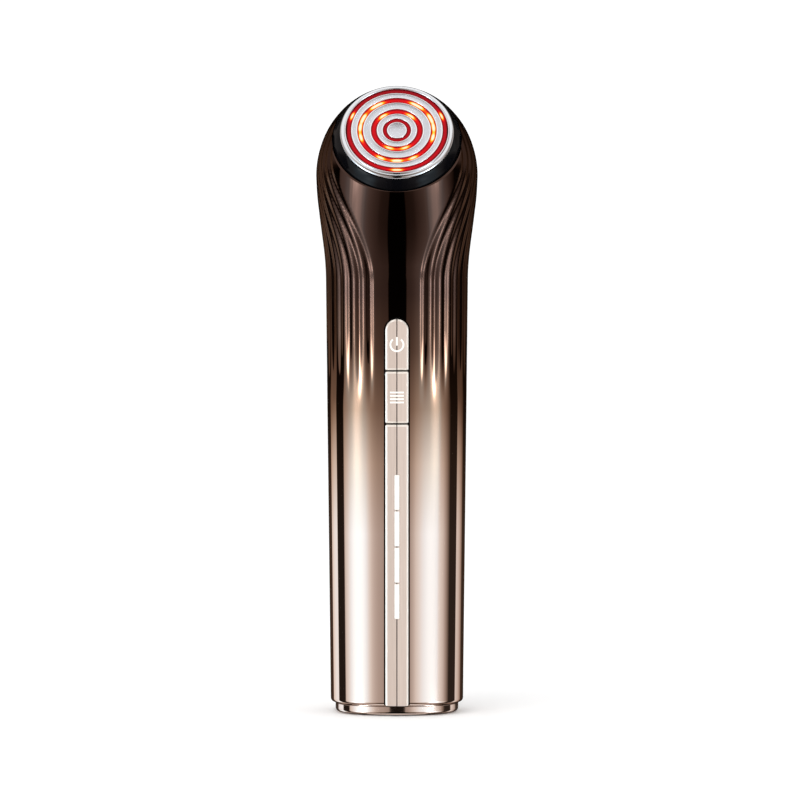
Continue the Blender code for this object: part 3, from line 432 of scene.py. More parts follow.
# Finishes of the inner pieces: colour, roughness, metallic, grain size, grain depth, mottling.
INNER_FINISHES = {
    "nylon": ("glass-filled nylon, moulded", "#4b4e52", 0.55, 0.0, 0.25, 0.01, 0.12),
    "circuit_board": ("glass epoxy, solder mask", "#1f5f3d", 0.42, 0.0, 1.1, 0.012, 0.25),
    "black_package": ("epoxy package, moulded", "#1b1b1d", 0.5, 0.0, 0.12, 0.006, 0.1),
    "winding": ("copper wire, enamelled", "#b8683a", 0.35, 0.9, 0.35, 0.04, 0.2),
    "battery_sleeve": ("PVC sleeve, heat shrunk", "#25508f", 0.3, 0.0, 3.0, 0.02, 0.04),
    "rubber": ("silicone rubber, moulded", "#1c1c1e", 0.8, 0.0, 0.2, 0.015, 0.15),
    "red_wire": ("PVC insulation, red", "#b3201f", 0.45, 0.0, 0.4, 0.004, 0.06),
    "black_wire": ("PVC insulation, black", "#202022", 0.45, 0.0, 0.4, 0.004, 0.06),
    "ribbon_film": ("polyimide film", "#c98a2b", 0.3, 0.0, 0.8, 0.002, 0.1),
    "gold_contact": ("brass, gold plated", "#d9b05c", 0.22, 1.0, 0.3, 0.001, 0.03),
    "screw_steel": ("steel, zinc plated", "#b9bcc0", 0.35, 1.0, 0.25, 0.002, 0.05),
    "diffuser": ("silicone lens over emitter", "#f1efe6", 0.35, 0.0, 0.4, 0.001, 0.02),
}


def inner_finish(slot):
    name, colour, roughness, metallic, grain, depth, mottling = INNER_FINISHES[slot]
    material, shader = new_finish(name, srgb(colour), roughness, metallic)
    return add_grain(material, shader, grain * MM, depth * MM, mottling)


# Mesh tools

def finish_piece(name, mesh, materials, replaced=(), body=BODY, at=None, sharp=32):
    """Makes a shaded object of the mesh in place, on its body, for the nodes it replaces."""
    if at:
        mesh.transform(at)
    mesh.shade_smooth()
    mesh.set_sharp_from_angle(angle=math.radians(sharp))
    for material in materials:
        mesh.materials.append(material)
    piece = bpy.data.objects.new(name, mesh)
    bpy.context.scene.collection.objects.link(piece)
    bpy.context.view_layer.update()
    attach(piece, body)
    if replaced:
        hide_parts(*replaced)
    return piece


def mesh_of(name, bm):
    bmesh.ops.recalc_face_normals(bm, faces=bm.faces)
    mesh = bpy.data.meshes.new(name)
    bm.to_mesh(mesh)
    bm.free()
    return mesh


def loft_mesh(name, rings, closed=False):
    """A solid through rings of points, one point at a tip. A closed loft joins last to first."""
    points = []
    starts = []
    for ring in rings:
        starts.append(len(points))
        points.extend(ring)
    order = list(range(len(rings)))
    pairs = list(zip(order, order[1:])) + ([(order[-1], 0)] if closed else [])
    faces = []
    for lower, upper in pairs:
        low, high = len(rings[lower]), len(rings[upper])
        for step in range(max(low, high)):
            corners = [
                starts[lower] + step % low, starts[lower] + (step + 1) % low,
                starts[upper] + (step + 1) % high, starts[upper] + step % high,
            ]
            corners = list(dict.fromkeys(corners))
            if len(corners) > 2:
                faces.append(corners)
    if not closed:
        faces.append(list(range(starts[0], starts[0] + len(rings[0]))))
        faces.append(list(range(starts[-1], starts[-1] + len(rings[-1]))))
    mesh = bpy.data.meshes.new(name)
    mesh.from_pydata(points, [], faces)
    bm = bmesh.new()
    bm.from_mesh(mesh)
    bpy.data.meshes.remove(mesh)
    return mesh_of(name, bm)


def turned_mesh(name, profile, sides=FACE_SIDES):
    """A closed outline of (radius, height) points spun about the Z axis."""
    bm = bmesh.new()
    points = [bm.verts.new((radius, 0, height)) for radius, height in profile]
    edges = []
    for first, second in zip(points, points[1:] + points[:1]):
        if first.co.x or second.co.x:
            edges.append(bm.edges.new((first, second)))
    bmesh.ops.spin(
        bm, geom=points + edges, cent=(0, 0, 0), axis=(0, 0, 1),
        angle=math.tau, steps=sides, use_merge=True,
    )
    bmesh.ops.remove_doubles(bm, verts=bm.verts, dist=MM / 1000)
    return mesh_of(name, bm)


def extruded_mesh(name, outline, offset):
    bm = bmesh.new()
    face = bm.faces.new([bm.verts.new(point) for point in outline])
    moved = bmesh.ops.extrude_face_region(bm, geom=[face])["geom"]
    corners = [part for part in moved if isinstance(part, bmesh.types.BMVert)]
    bmesh.ops.translate(bm, verts=corners, vec=offset)
    return mesh_of(name, bm)


def add_box(bm, low, high):
    low = Vector(low)
    high = Vector(high)
    scale = Matrix.Diagonal((*(high - low), 1))
    bmesh.ops.create_cube(bm, size=1, matrix=Matrix.Translation((low + high) / 2) @ scale)


def add_rod(bm, start, end, radius, sides=32):
    start = Vector(start)
    end = Vector(end)
    turn = (end - start).to_track_quat("Z", "Y").to_matrix().to_4x4()
    bmesh.ops.create_cone(
        bm, cap_ends=True, segments=sides, radius1=radius, radius2=radius,
        depth=(end - start).length, matrix=Matrix.Translation((start + end) / 2) @ turn,
    )


def boolean_mesh(name, mesh, steps):
    """The mesh after Booleans of (operation, tool mesh, tool matrix), which may add finishes."""
    target = bpy.data.objects.new(name, mesh)
    bpy.context.scene.collection.objects.link(target)
    tools = []
    for operation, tool_mesh, matrix in steps:
        tool = bpy.data.objects.new(name + " tool", tool_mesh)
        tool.matrix_world = matrix
        bpy.context.scene.collection.objects.link(tool)
        modifier = target.modifiers.new(operation, "BOOLEAN")
        modifier.operation = operation
        modifier.material_mode = "TRANSFER"
        modifier.object = tool
        tools.append(tool)
    bpy.context.view_layer.update()
    evaluated = target.evaluated_get(bpy.context.evaluated_depsgraph_get())
    result = bpy.data.meshes.new_from_object(evaluated)
    for item in [target, *tools]:
        bpy.data.objects.remove(item)
    if not any(result.materials):
        result.materials.clear()
    return result


# Casing

def smooth_step(low, high, value):
    share = np.clip((value - low) / (high - low), 0, 1)
    return share * share * (3 - 2 * share)


def section(z):
    """Half-width, front depth, back depth and squareness of the casing at a height."""
    taper = min(max((z - TAPER_START) / (GRIP_TOP - TAPER_START), 0), 1)
    tube = BOTTOM_HALF_WIDTH + (GRIP_HALF_WIDTH - BOTTOM_HALF_WIDTH) * taper
    depth = GRIP_DEPTH_RATIO * tube
    grip_depth = GRIP_DEPTH_RATIO * GRIP_HALF_WIDTH
    sides_flare = smooth_step(GRIP_TOP, HEAD_SIDES_FULL, z)
    front_flare = smooth_step(GRIP_TOP, HEAD_FRONT_FULL, z)
    half_width = tube + (HEAD_HALF_WIDTH - GRIP_HALF_WIDTH) * sides_flare
    front = depth + (HEAD_FRONT - grip_depth) * front_flare
    back = depth + (HEAD_BACK - grip_depth) * sides_flare
    squareness = GRIP_SQUARENESS + (HEAD_SQUARENESS - GRIP_SQUARENESS) * sides_flare
    return half_width, front, back, squareness


def even_oval(half_width, front, back, squareness, count):
    """Even points anticlockwise from the front centre, their distances, and the whole round."""
    angle = np.linspace(-math.pi / 2, 1.5 * math.pi, OUTLINE_SAMPLES + 1)
    across, along = np.cos(angle), np.sin(angle)
    depth = np.where(along > 0, back, front)
    x = half_width * np.sign(across) * np.abs(across) ** (2 / squareness)
    y = depth * np.sign(along) * np.abs(along) ** (2 / squareness)
    walked = np.concatenate([[0], np.cumsum(np.hypot(np.diff(x), np.diff(y)))])
    stops = walked[-1] * np.arange(count) / count
    return np.interp(stops, walked, x), np.interp(stops, walked, y), stops, walked[-1]


def pleat_start(z, half_width, x, walked):
    """Distance round the casing from the front centre to the first pleat."""
    quarter = len(x) // 4
    low, high = PANEL_SHARE
    share = low + (high - low) * smooth_step(GRIP_TOP, PANEL_TOP, z)
    return float(np.interp(share * half_width, x[:quarter], walked[:quarter]))


def pleat_depth(settings, z, start, distance):
    """How far the pleats cut in at distances round the casing, at a height."""
    number = (distance - start) / settings.pleat_pitch
    soft = settings.pleat_softness
    crest = math.hypot(1, soft)
    shape = (crest - np.sqrt(np.sin(math.pi * number) ** 2 + soft ** 2)) / (crest - soft)
    opening = smooth_step(-0.5, -0.2, number)
    closing = 1 - smooth_step(settings.pleat_count - 1, settings.pleat_count, number)
    low_end = PLEAT_START + PLEAT_STAGGER * np.clip(number, 0, None)
    rising = smooth_step(low_end, low_end + PLEAT_RISE, z)
    falling = 1 - smooth_step(*PLEAT_FADE, z)
    return settings.pleat_depth * shape * opening * closing * rising * falling


def casing_ring(settings, z, inset=0.0, scale=1.0, pleated=True):
    half_width, front, back, squareness = section(z)
    sizes = [(size - inset) * scale for size in (half_width, front, back)]
    x, y, distance, total = even_oval(*sizes, squareness, CASING_SIDES)
    if pleated:
        start = pleat_start(z, sizes[0], x, distance)
        depth = pleat_depth(settings, z, start, np.minimum(distance, total - distance))
        along_x = np.roll(x, -1) - np.roll(x, 1)
        along_y = np.roll(y, -1) - np.roll(y, 1)
        length = np.hypot(along_x, along_y)
        x = x - depth * along_y / length
        y = y + depth * along_x / length
    return [(float(px), float(py), z) for px, py in zip(x, y)]


def casing_mesh(settings):
    """The whole casing as one wall, open at the bottom, before it is parted into two shells."""
    rings = []
    for step in range(5):
        angle = math.pi / 2 * step / 4
        z = CASING_BOTTOM + BOTTOM_ROUND * (1 - math.cos(angle))
        rings.append(casing_ring(settings, z, BOTTOM_ROUND * (1 - math.sin(angle)), 1, False))
    start = CASING_BOTTOM + BOTTOM_ROUND
    heights = [start + BOTTOM_ROUND * 0.1, start + BOTTOM_ROUND * 0.4]
    heights += [start + (PLAIN_TOP - start) * step / 10 for step in range(1, 11)]
    heights += [PLAIN_TOP + (DOME_START - PLAIN_TOP) * step / 80 for step in range(1, 80)]
    rings += [casing_ring(settings, z) for z in heights]
    for step in range(36):
        rise = math.pi / 2 * step / 36
        z = DOME_START + DOME_HEIGHT * math.sin(rise)
        rings.append(casing_ring(settings, z, 0, math.cos(rise)))
    rings.append([(0, 0, HEIGHT)])
    outer_faces = (len(rings) - 1) * CASING_SIDES
    rings.append([(0, 0, HEIGHT - WALL)])
    for step in range(11, -1, -1):
        rise = math.pi / 2 * step / 12
        z = DOME_START + (DOME_HEIGHT - WALL) * math.sin(rise)
        rings.append(casing_ring(settings, z, WALL, math.cos(rise), False))
    for step in range(11, -1, -1):
        z = CASING_BOTTOM + (DOME_START - CASING_BOTTOM) * step / 12
        rings.append(casing_ring(settings, z, WALL, 1, False))
    mesh = loft_mesh("casing", rings, closed=True)
    for face in mesh.polygons:
        face.material_index = int(face.index >= outer_faces)
    return mesh


def core_mesh(settings, material):
    """The casing's inside, grown into the wall, which keeps a tongue behind the parting seam."""
    rings = [casing_ring(settings, CASING_BOTTOM - MM, TONGUE_INSET, 1, False)]
    for step in range(13):
        z = CASING_BOTTOM + (DOME_START - CASING_BOTTOM) * step / 12
        rings.append(casing_ring(settings, z, TONGUE_INSET, 1, False))
    for step in range(1, 24):
        rise = math.pi / 2 * step / 24
        z = DOME_START + (DOME_HEIGHT - TONGUE_INSET) * math.sin(rise)
        rings.append(casing_ring(settings, z, TONGUE_INSET, math.cos(rise), False))
    mesh = loft_mesh("core", rings)
    mesh.materials.append(material)
    return mesh


def front_point(z):
    """The casing's foremost point at a height on the grip."""
    return Vector((0, -section(z)[1], z))


def grip_lean():
    rise = front_point(GRIP_TOP) - front_point(TAPER_START)
    return math.atan2(-rise.y, rise.z)


def lean_matrix(z):
    """A frame on the grip's front surface at a height, leaning with it."""
    return Matrix.Translation(front_point(z)) @ Matrix.Rotation(grip_lean(), 4, "X")


def head_matrix():
    return Matrix.Translation(FACE_CENTRE) @ Matrix.Rotation(FACE_LEAN, 4, "X")


def block_mesh(low, high, material):
    bm = bmesh.new()
    add_box(bm, low, high)
    mesh = mesh_of("block", bm)
    mesh.materials.append(material)
    return mesh


def opening_tool(bare_and_gap_shade, lacquer):
    """Takes off the dome in front of the rim, bores the opening and chamfers its edge."""
    chamfer = OPENING_RADIUS + OPENING_CHAMFER
    mesh = turned_mesh("opening", [
        (0, HEIGHT / 2), (HEIGHT / 2, HEIGHT / 2), (HEIGHT / 2, -RIM_DEPTH),
        (chamfer, -RIM_DEPTH), (OPENING_RADIUS, -RIM_DEPTH - OPENING_CHAMFER),
        (OPENING_RADIUS, -OPENING_DEPTH), (0, -OPENING_DEPTH),
    ])
    mesh.materials.append(bare_and_gap_shade)
    mesh.materials.append(lacquer)
    for face in mesh.polygons:
        face.material_index = int(face.center.z > -RIM_DEPTH - OPENING_CHAMFER)
    return mesh


def strip_span(node):
    low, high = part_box(node)
    return low.z, high.z


def centre_of(span):
    return (span[0] + span[1]) / 2


def strip_outline(span, inset=0.0, half_round=False, grow=0.0, flush=False):
    """A front-view outline round the origin: small corners or a half-round top, a flush foot."""
    half_length = (span[1] - span[0]) / 2 + grow
    half_width = STRIP_HALF_WIDTH + grow
    corner = STRIP_CORNER
    centres = [
        (half_width - corner, -half_length + corner, -90, corner),
        (half_width - corner, half_length - corner, 0, corner),
        (-half_width + corner, half_length - corner, 90, corner),
        (-half_width + corner, -half_length + corner, 180, corner),
    ]
    if half_round:
        centres[1] = (0, half_length - half_width, 0, half_width)
        centres[2] = (0, half_length - half_width, 90, half_width)
    points = []
    for x, z, first, radius in centres:
        if flush and z < 0:
            z -= inset
        steps = 16 if radius > corner else 4
        for step in range(steps + 1):
            angle = math.radians(first + 90 * step / steps)
            reach = max(radius - inset, radius * 0.05)
            slide = max(inset - radius * 0.95, 0)
            points.append((
                x + reach * math.cos(angle) - slide * math.copysign(1, x or 1) * (x != 0),
                z + reach * math.sin(angle) - slide * math.copysign(1, z),
            ))
    return points


def recess_tool(bare_and_gap_shade):
    """The channel for the strip and both keys, in a frame at its middle, open at the bottom."""
    bottom = CASING_BOTTOM - 2 * BOTTOM_ROUND
    span = (bottom, strip_span("power_button")[1])
    outline = strip_outline(span, half_round=True, grow=RECESS_GAP)
    points = [(x, -3 * RECESS_DEPTH, z) for x, z in outline]
    mesh = extruded_mesh("recess", points, (0, 4 * RECESS_DEPTH, 0))
    mesh.materials.append(bare_and_gap_shade)
    return mesh, lean_matrix(centre_of(span))


def floor_tool(bare_and_gap_shade):
    """Holes behind the strip for both plungers and the legs of the light windows."""
    bm = bmesh.new()
    reach = Vector((0, RECESS_DEPTH + 2 * FLOOR_THICKNESS, 0))
    for node in ("level_button", "power_button"):
        start = front_point(centre_of(strip_span(node)))
        add_rod(bm, start, start + reach, PLUNGER_HOLE_RADIUS)
    for number in range(1, 5):
        start = front_point(centre_of(strip_span(f"level_window_{number}")))
        half = Vector((WINDOW_LEG[0] + LEG_GAP, 0, WINDOW_LEG[1] + LEG_GAP))
        add_box(bm, start - half, start + half + reach)
    mesh = mesh_of("floor holes", bm)
    mesh.materials.append(bare_and_gap_shade)
    return mesh


def build_casing(settings):
    lacquer = metallised_lacquer(settings)
    # The dark bare plastic also paints the shade inside the recess, the bore, the floor holes and
    # the parting seam
    bare_and_gap_shade = bare_plastic_and_gap_shade()
    still = Matrix.Identity(4)
    recess, recess_at = recess_tool(bare_and_gap_shade)
    rib_half = (RIB_SPAN[1] - RIB_SPAN[0]) / 2
    rib = block_mesh(
        (-FLOOR_HALF_WIDTH, WALL - RECESS_DEPTH / 2, -rib_half),
        (FLOOR_HALF_WIDTH, RECESS_DEPTH + FLOOR_THICKNESS, rib_half), bare_and_gap_shade,
    )
    behind = block_mesh((-HEIGHT, PARTING_FRONT, -HEIGHT), (HEIGHT, HEIGHT, 2 * HEIGHT), bare_and_gap_shade)
    ahead = block_mesh((-HEIGHT, -HEIGHT, -HEIGHT), (HEIGHT, PARTING_REAR, 2 * HEIGHT), bare_and_gap_shade)
    tongue_front = PARTING_FRONT + TONGUE_GAP
    beyond = block_mesh((-HEIGHT, -HEIGHT, -HEIGHT), (HEIGHT, tongue_front, 2 * HEIGHT), bare_and_gap_shade)
    seam = boolean_mesh("seam", ahead, [("DIFFERENCE", core_mesh(settings, bare_and_gap_shade), still)])
    whole = casing_mesh(settings)
    whole.materials.append(lacquer)
    whole.materials.append(bare_and_gap_shade)
    front = boolean_mesh("front casing", whole.copy(), [
        ("UNION", rib, lean_matrix(centre_of(RIB_SPAN))),
        ("DIFFERENCE", behind, still),
        ("DIFFERENCE", opening_tool(bare_and_gap_shade, lacquer), head_matrix()),
        ("DIFFERENCE", recess, recess_at),
        ("DIFFERENCE", floor_tool(bare_and_gap_shade), still),
    ])
    rear = boolean_mesh("rear casing", whole, [
        ("DIFFERENCE", seam, still), ("DIFFERENCE", beyond, still),
    ])
    finish_piece("front_casing", front, [], ["front_shell"])
    finish_piece("rear_casing", rear, [], ["rear_shell"])


# Strip, keys, print and windows

def ridge_height(x):
    """Depth of the strip's facets at a distance from its centre line, without the seam."""
    shoulder = STRIP_HALF_WIDTH - STRIP_CHAMFER
    slope = (STRIP_RIDGE - STRIP_CHAMFER / 2) / shoulder
    return -(STRIP_RIDGE - slope * min(abs(x), shoulder))


def bar_mesh(name, span, back, half_round=False, flush=False):
    """A faceted bar with bevelled edges and a fine V seam down its ridge."""
    bm = bmesh.new()
    level = -10 * STRIP_RIDGE
    layers = ((0.0, back), (0.0, STRIP_EDGE), (STRIP_CHAMFER, level))
    loops = []
    for inset, y in layers:
        outline = strip_outline(span, inset, half_round, flush=flush)
        loops.append([bm.verts.new((x, y, z)) for x, z in outline])
    for lower, upper in zip(loops, loops[1:]):
        for step in range(len(lower)):
            after = (step + 1) % len(lower)
            bm.faces.new((lower[step], lower[after], upper[after], upper[step]))
    bm.faces.new(loops[0])
    bm.faces.new(loops[-1])
    for x in (-STRIP_SEAM_HALF_WIDTH, 0, STRIP_SEAM_HALF_WIDTH):
        geometry = bm.verts[:] + bm.edges[:] + bm.faces[:]
        bmesh.ops.bisect_plane(bm, geom=geometry, plane_co=(x, 0, 0), plane_no=(1, 0, 0))
    for vertex in bm.verts:
        if abs(vertex.co.y - level) < STRIP_RIDGE:
            in_seam = abs(vertex.co.x) < STRIP_SEAM_HALF_WIDTH / 2
            vertex.co.y = ridge_height(vertex.co.x) + (STRIP_SEAM_DEPTH if in_seam else 0)
    return mesh_of(name, bm)


def finish_bar(mesh):
    """Facets keep the first finish, bevels take the second with its painted highlight, and the seam
    and sides the third, dark plastic that also paints their shade.
    """
    mesh.materials.clear()
    for face in mesh.polygons:
        outward = -face.normal.y
        in_seam = abs(face.center.x) < STRIP_SEAM_HALF_WIDTH and face.center.y < 0
        bevel = 0.3 < outward < 0.97
        face.material_index = 2 if in_seam or outward < 0.3 else int(bevel)


def key_piece(name, node, body, materials, half_round=False):
    span = strip_span(node)
    middle = centre_of(span)
    rod = bmesh.new()
    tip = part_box(node)[1].y - front_point(middle).y
    add_rod(rod, (0, KEY_BACK / 2, 0), (0, tip, 0), PLUNGER_RADIUS)
    mesh = bar_mesh(name, span, KEY_BACK, half_round)
    mesh = boolean_mesh(name, mesh, [("UNION", mesh_of("plunger", rod), Matrix.Identity(4))])
    finish_bar(mesh)
    at = lean_matrix(middle)
    return finish_piece(name, mesh, materials, [node], body, at, FACET_ANGLE)


def print_mesh(name, quads):
    """Thin printed areas that lie on the facets. Each quad is four (x, z) corners."""
    bm = bmesh.new()
    proud = PRINT_THICKNESS
    for quad in quads:
        bm.faces.new([bm.verts.new((x, ridge_height(x) - proud, z)) for x, z in quad])
    bmesh.ops.remove_doubles(bm, verts=bm.verts, dist=MM / 1000)
    moved = bmesh.ops.extrude_face_region(bm, geom=bm.faces[:])["geom"]
    corners = [part for part in moved if isinstance(part, bmesh.types.BMVert)]
    bmesh.ops.translate(bm, verts=corners, vec=(0, proud * 0.7, 0))
    return mesh_of(name, bm)


def power_sign_quads(settings):
    """An open ring with a bar that stands in its gap."""
    outer = settings.icon_size / 2
    inner = outer - settings.icon_stroke
    gap = 38
    quads = []
    steps = 48
    for step in range(steps):
        angles = [math.radians(90 + gap + (360 - 2 * gap) * (step + end) / steps) for end in (0, 1)]
        first, second = [(math.cos(angle), math.sin(angle)) for angle in angles]
        quads.append([
            (inner * first[0], inner * first[1]), (outer * first[0], outer * first[1]),
            (outer * second[0], outer * second[1]), (inner * second[0], inner * second[1]),
        ])
    half = settings.icon_stroke / 2
    low, high = -0.12 * outer, 1.02 * outer
    quads.append([(-half, low), (0, low), (0, high), (-half, high)])
    quads.append([(0, low), (half, low), (half, high), (0, high)])
    return quads


def level_sign_quads(settings):
    """Four level bars, one above the other."""
    half_width = 2.2 * MM
    half_bar = 0.27 * MM
    pitch = 1.05 * MM
    quads = []
    for index in range(4):
        z = pitch * (1.5 - index)
        for left, right in ((-half_width, 0), (0, half_width)):
            quads.append([
                (left, z - half_bar), (right, z - half_bar),
                (right, z + half_bar), (left, z + half_bar),
            ])
    return quads


def build_controls(settings):
    materials = [metallised_trim(settings), pearl_edge_painted_highlight(settings), bare_plastic_and_gap_shade()]
    ink = white_ink(settings)
    key_piece("power_key_cap", "power_button", "power_key", materials, True)
    key_piece("level_key_cap", "level_button", "level_key", materials)
    signs = (
        ("power_sign", "power_button", power_sign_quads(settings), "power_key"),
        ("level_sign", "level_button", level_sign_quads(settings), "level_key"),
    )
    for name, node, quads, body in signs:
        at = lean_matrix(centre_of(strip_span(node)))
        finish_piece(name, print_mesh(name, quads), [ink], (), body, at)


def window_mesh(name, node):
    """A softly bevelled light bar with its leg behind."""
    low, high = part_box(node)
    middle = centre_of((low.z, high.z))
    length = high.z - low.z - WINDOW_TRIM
    half = high.x - WINDOW_TRIM / 2
    bm = bmesh.new()
    add_box(bm, (-half, -STRIP_RIDGE, -length / 2), (half, STRIP_BACK, length / 2))
    bmesh.ops.bevel(
        bm, geom=bm.edges[:], offset=WINDOW_BEVEL, segments=3, profile=0.5, affect="EDGES",
    )
    leg = bmesh.new()
    tip = high.y - front_point(middle).y
    across, along = WINDOW_LEG
    add_box(leg, (-across, 0, -along), (across, tip, along))
    bar = mesh_of(name, bm)
    return boolean_mesh(name, bar, [("UNION", mesh_of("leg", leg), Matrix.Identity(4))]), middle


def build_strip(settings):
    materials = [metallised_trim(settings), pearl_edge_painted_highlight(settings), bare_plastic_and_gap_shade()]
    acrylic = milky_acrylic(settings)
    span = strip_span("indicator_strip")
    slots = bmesh.new()
    gap = -WINDOW_PINCH
    for number in range(1, 5):
        node = f"level_window_{number}"
        mesh, middle = window_mesh(f"level_light_{number}", node)
        at = lean_matrix(middle)
        finish_piece(f"level_light_{number}", mesh, [acrylic], [node], BODY, at)
        low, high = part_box(node)
        half = Vector((high.x + gap, 2 * STRIP_BACK, (high.z - low.z) / 2 + gap))
        centre = front_point(middle)
        add_box(slots, centre - half, centre + half)
    at = lean_matrix(centre_of(span))
    bar = bar_mesh("level_strip", span, STRIP_BACK, flush=True)
    bar = boolean_mesh("level_strip", bar, [("DIFFERENCE", mesh_of("slots", slots), at.inverted())])
    finish_bar(bar)
    finish_piece(
        "level_strip", bar, materials, ["indicator_strip"], BODY, at, FACET_ANGLE,
    )


# Head and treatment face

def arc_points(centre, radius, first, last, steps):
    points = []
    for step in range(steps + 1):
        angle = math.radians(first + (last - first) * step / steps)
        points.append((centre[0] + radius * math.cos(angle), centre[1] + radius * math.sin(angle)))
    return points


def build_head():
    """The chrome bezel with its rolled lip and domed flare, and the stepped black collar."""
    lip = BEZEL_LIP
    bezel = [(BEZEL_INNER_RADIUS, -lip)]
    bezel += arc_points((BEZEL_INNER_RADIUS + lip, -lip), lip, 180, 0, 8)[1:]
    groove_width, groove_depth = BEZEL_GROOVE
    foot = BEZEL_INNER_RADIUS + 2 * lip
    bezel += [(foot, -lip - groove_depth), (foot + groove_width, -lip - groove_depth)]
    flare_start = foot + groove_width
    flare_width = BEZEL_FLARE_RADIUS - flare_start
    squash = FLARE_FULLNESS * (BEZEL_FLARE_DEPTH - lip) / flare_width
    flare = arc_points((flare_start, 0), flare_width, 90, 0, 12)
    bezel += [(radius, height * squash - BEZEL_FLARE_DEPTH) for radius, height in flare]
    neck = COLLAR_INNER_RADIUS - BEZEL_SEAT_GAP
    bezel += [(neck, -BEZEL_FLARE_DEPTH), (neck, BEZEL_BOTTOM), (BEZEL_INNER_RADIUS, BEZEL_BOTTOM)]
    mesh = turned_mesh("chrome_bezel", bezel)
    at = head_matrix()
    finish_piece("chrome_bezel", mesh, [chrome_plate()], ["head_bezel"], BODY, at)
    groove, groove_top, groove_bottom = SEAL_GROOVE
    collar = [(COLLAR_INNER_RADIUS, COLLAR_TOP)]
    centre = (COLLAR_NECK_RADIUS - COLLAR_LIP, COLLAR_TOP - COLLAR_LIP)
    collar += arc_points(centre, COLLAR_LIP, 90, 40, 3)
    collar.append(COLLAR_SHOULDER)
    centre = (COLLAR_RADIUS - COLLAR_EDGE, COLLAR_RIM + COLLAR_EDGE * 0.6)
    collar += arc_points(centre, COLLAR_EDGE, 38, 0, 5)
    collar += [
        (COLLAR_RADIUS, groove_top), (groove, groove_top), (groove, groove_bottom),
        (COLLAR_RADIUS, groove_bottom), (COLLAR_RADIUS, COLLAR_BOTTOM),
        (COLLAR_INNER_RADIUS, COLLAR_BOTTOM),
    ]
    mesh = turned_mesh("gloss_collar", collar)
    finish_piece("gloss_collar", mesh, [piano_black()], ["head_collar"], BODY, at)


def electrode_profile(inner, outer):
    """A plate with a polished rounded edge and a face that is blasted a little lower."""
    edge = ELECTRODE_EDGE
    rim = ELECTRODE_RIM
    step = ELECTRODE_STEP
    sunk = -ELECTRODE_SINK
    bottom = -ELECTRODE_THICKNESS
    profile = arc_points((outer - edge, -edge), edge, 0, 90, 4)[::-1]
    profile += [(outer, bottom), (inner, bottom)]
    if inner:
        profile += arc_points((inner + edge, -edge), edge, 180, 90, 4)
        profile += [(inner + rim, 0), (inner + rim + step, sunk)]
    else:
        profile += [(0, sunk)]
    return profile + [(outer - rim - step, sunk), (outer - rim, 0)]


def leg_mesh(radius, degrees):
    bm = bmesh.new()
    angle = math.radians(degrees)
    spot = Vector((radius * math.cos(angle), radius * math.sin(angle), -ELECTRODE_THICKNESS / 2))
    add_rod(bm, spot, (spot.x, spot.y, LEG_END), LEG_RADIUS, 20)
    return mesh_of("leg", bm)


def glow_level(x, y):
    """How strongly the emitters light a spot of the lens, from 0 to 1."""
    radius = math.hypot(x, y)
    level = 0.33 if radius > CENTRE_ELECTRODE_RADIUS * 2 else 0.26
    if radius > ELECTRODE_RINGS["ring_electrode_outer"][1]:
        level -= 0.08 + 0.08 * y / radius
    for ring, angles, strength in EMITTERS:
        across = (radius - ring) / EMITTER_WIDTH
        for degrees in angles:
            turn = math.remainder(math.atan2(y, x) - math.radians(degrees), math.tau)
            along = turn * ring / EMITTER_LENGTH
            level += strength * math.exp(-(across ** 2) - along ** 2)
            level += strength * 0.2 * math.exp(-((across / 2) ** 2) - (along / 2.2) ** 2)
    return min(level, 1)


def lens_mesh():
    """A disc with a seat for each electrode, fine enough round to carry the glow."""
    seat = -ELECTRODE_THICKNESS - ELECTRODE_GAP
    gap = ELECTRODE_GAP
    edges = [CENTRE_ELECTRODE_RADIUS + gap]
    for inner, outer, _ in ELECTRODE_RINGS.values():
        edges += [inner - gap, outer + gap]
    edges.append(LENS_RADIUS)
    profile = [(0, seat)]
    rings = list(zip(edges[::2], edges[1::2]))
    for inner, outer in rings:
        profile.append((inner, seat))
        for step in range(9):
            profile.append((inner + (outer - inner) * step / 8, LENS_TOP))
        profile.append((outer, seat))
    profile[-1] = (LENS_RADIUS, LENS_BOTTOM)
    profile.append((0, LENS_BOTTOM))
    mesh = turned_mesh("glow_lens", profile, 2 * FACE_SIDES)
    glow = mesh.attributes.new("glow", "FLOAT", "POINT")
    levels = []
    for vertex in mesh.vertices:
        radius = math.hypot(vertex.co.x, vertex.co.y)
        depth = max(min(radius - inner, outer - radius) for inner, outer in rings)
        shade = 0.35 + 0.65 * min(max(depth / LENS_EDGE, 0), 1)
        levels.append(shade * glow_level(vertex.co.x, vertex.co.y))
    glow.data.foreach_set("value", levels)
    return mesh


def build_face(settings):
    satin = satin_plate()
    polished = polished_plate()
    plates = {"centre_electrode": (0.0, CENTRE_ELECTRODE_RADIUS, None)}
    plates.update(ELECTRODE_RINGS)
    for node, (inner, outer, degrees) in plates.items():
        name = node.replace("electrode", "plate")
        mesh = turned_mesh(name, electrode_profile(inner, outer))
        leg_at = 0 if degrees is None else (inner + outer) / 2
        leg = leg_mesh(leg_at, degrees or 0)
        mesh = boolean_mesh(name, mesh, [("UNION", leg, Matrix.Identity(4))])
        for face in mesh.polygons:
            face.material_index = int(abs(face.center.z + ELECTRODE_SINK) >= ELECTRODE_SINK / 6)
        finish_piece(name, mesh, [satin, polished], [node], BODY, head_matrix())
    glow = [lit_polycarbonate(settings)]
    finish_piece("glow_lens", lens_mesh(), glow, ["light_lens"], BODY, head_matrix())


# Base

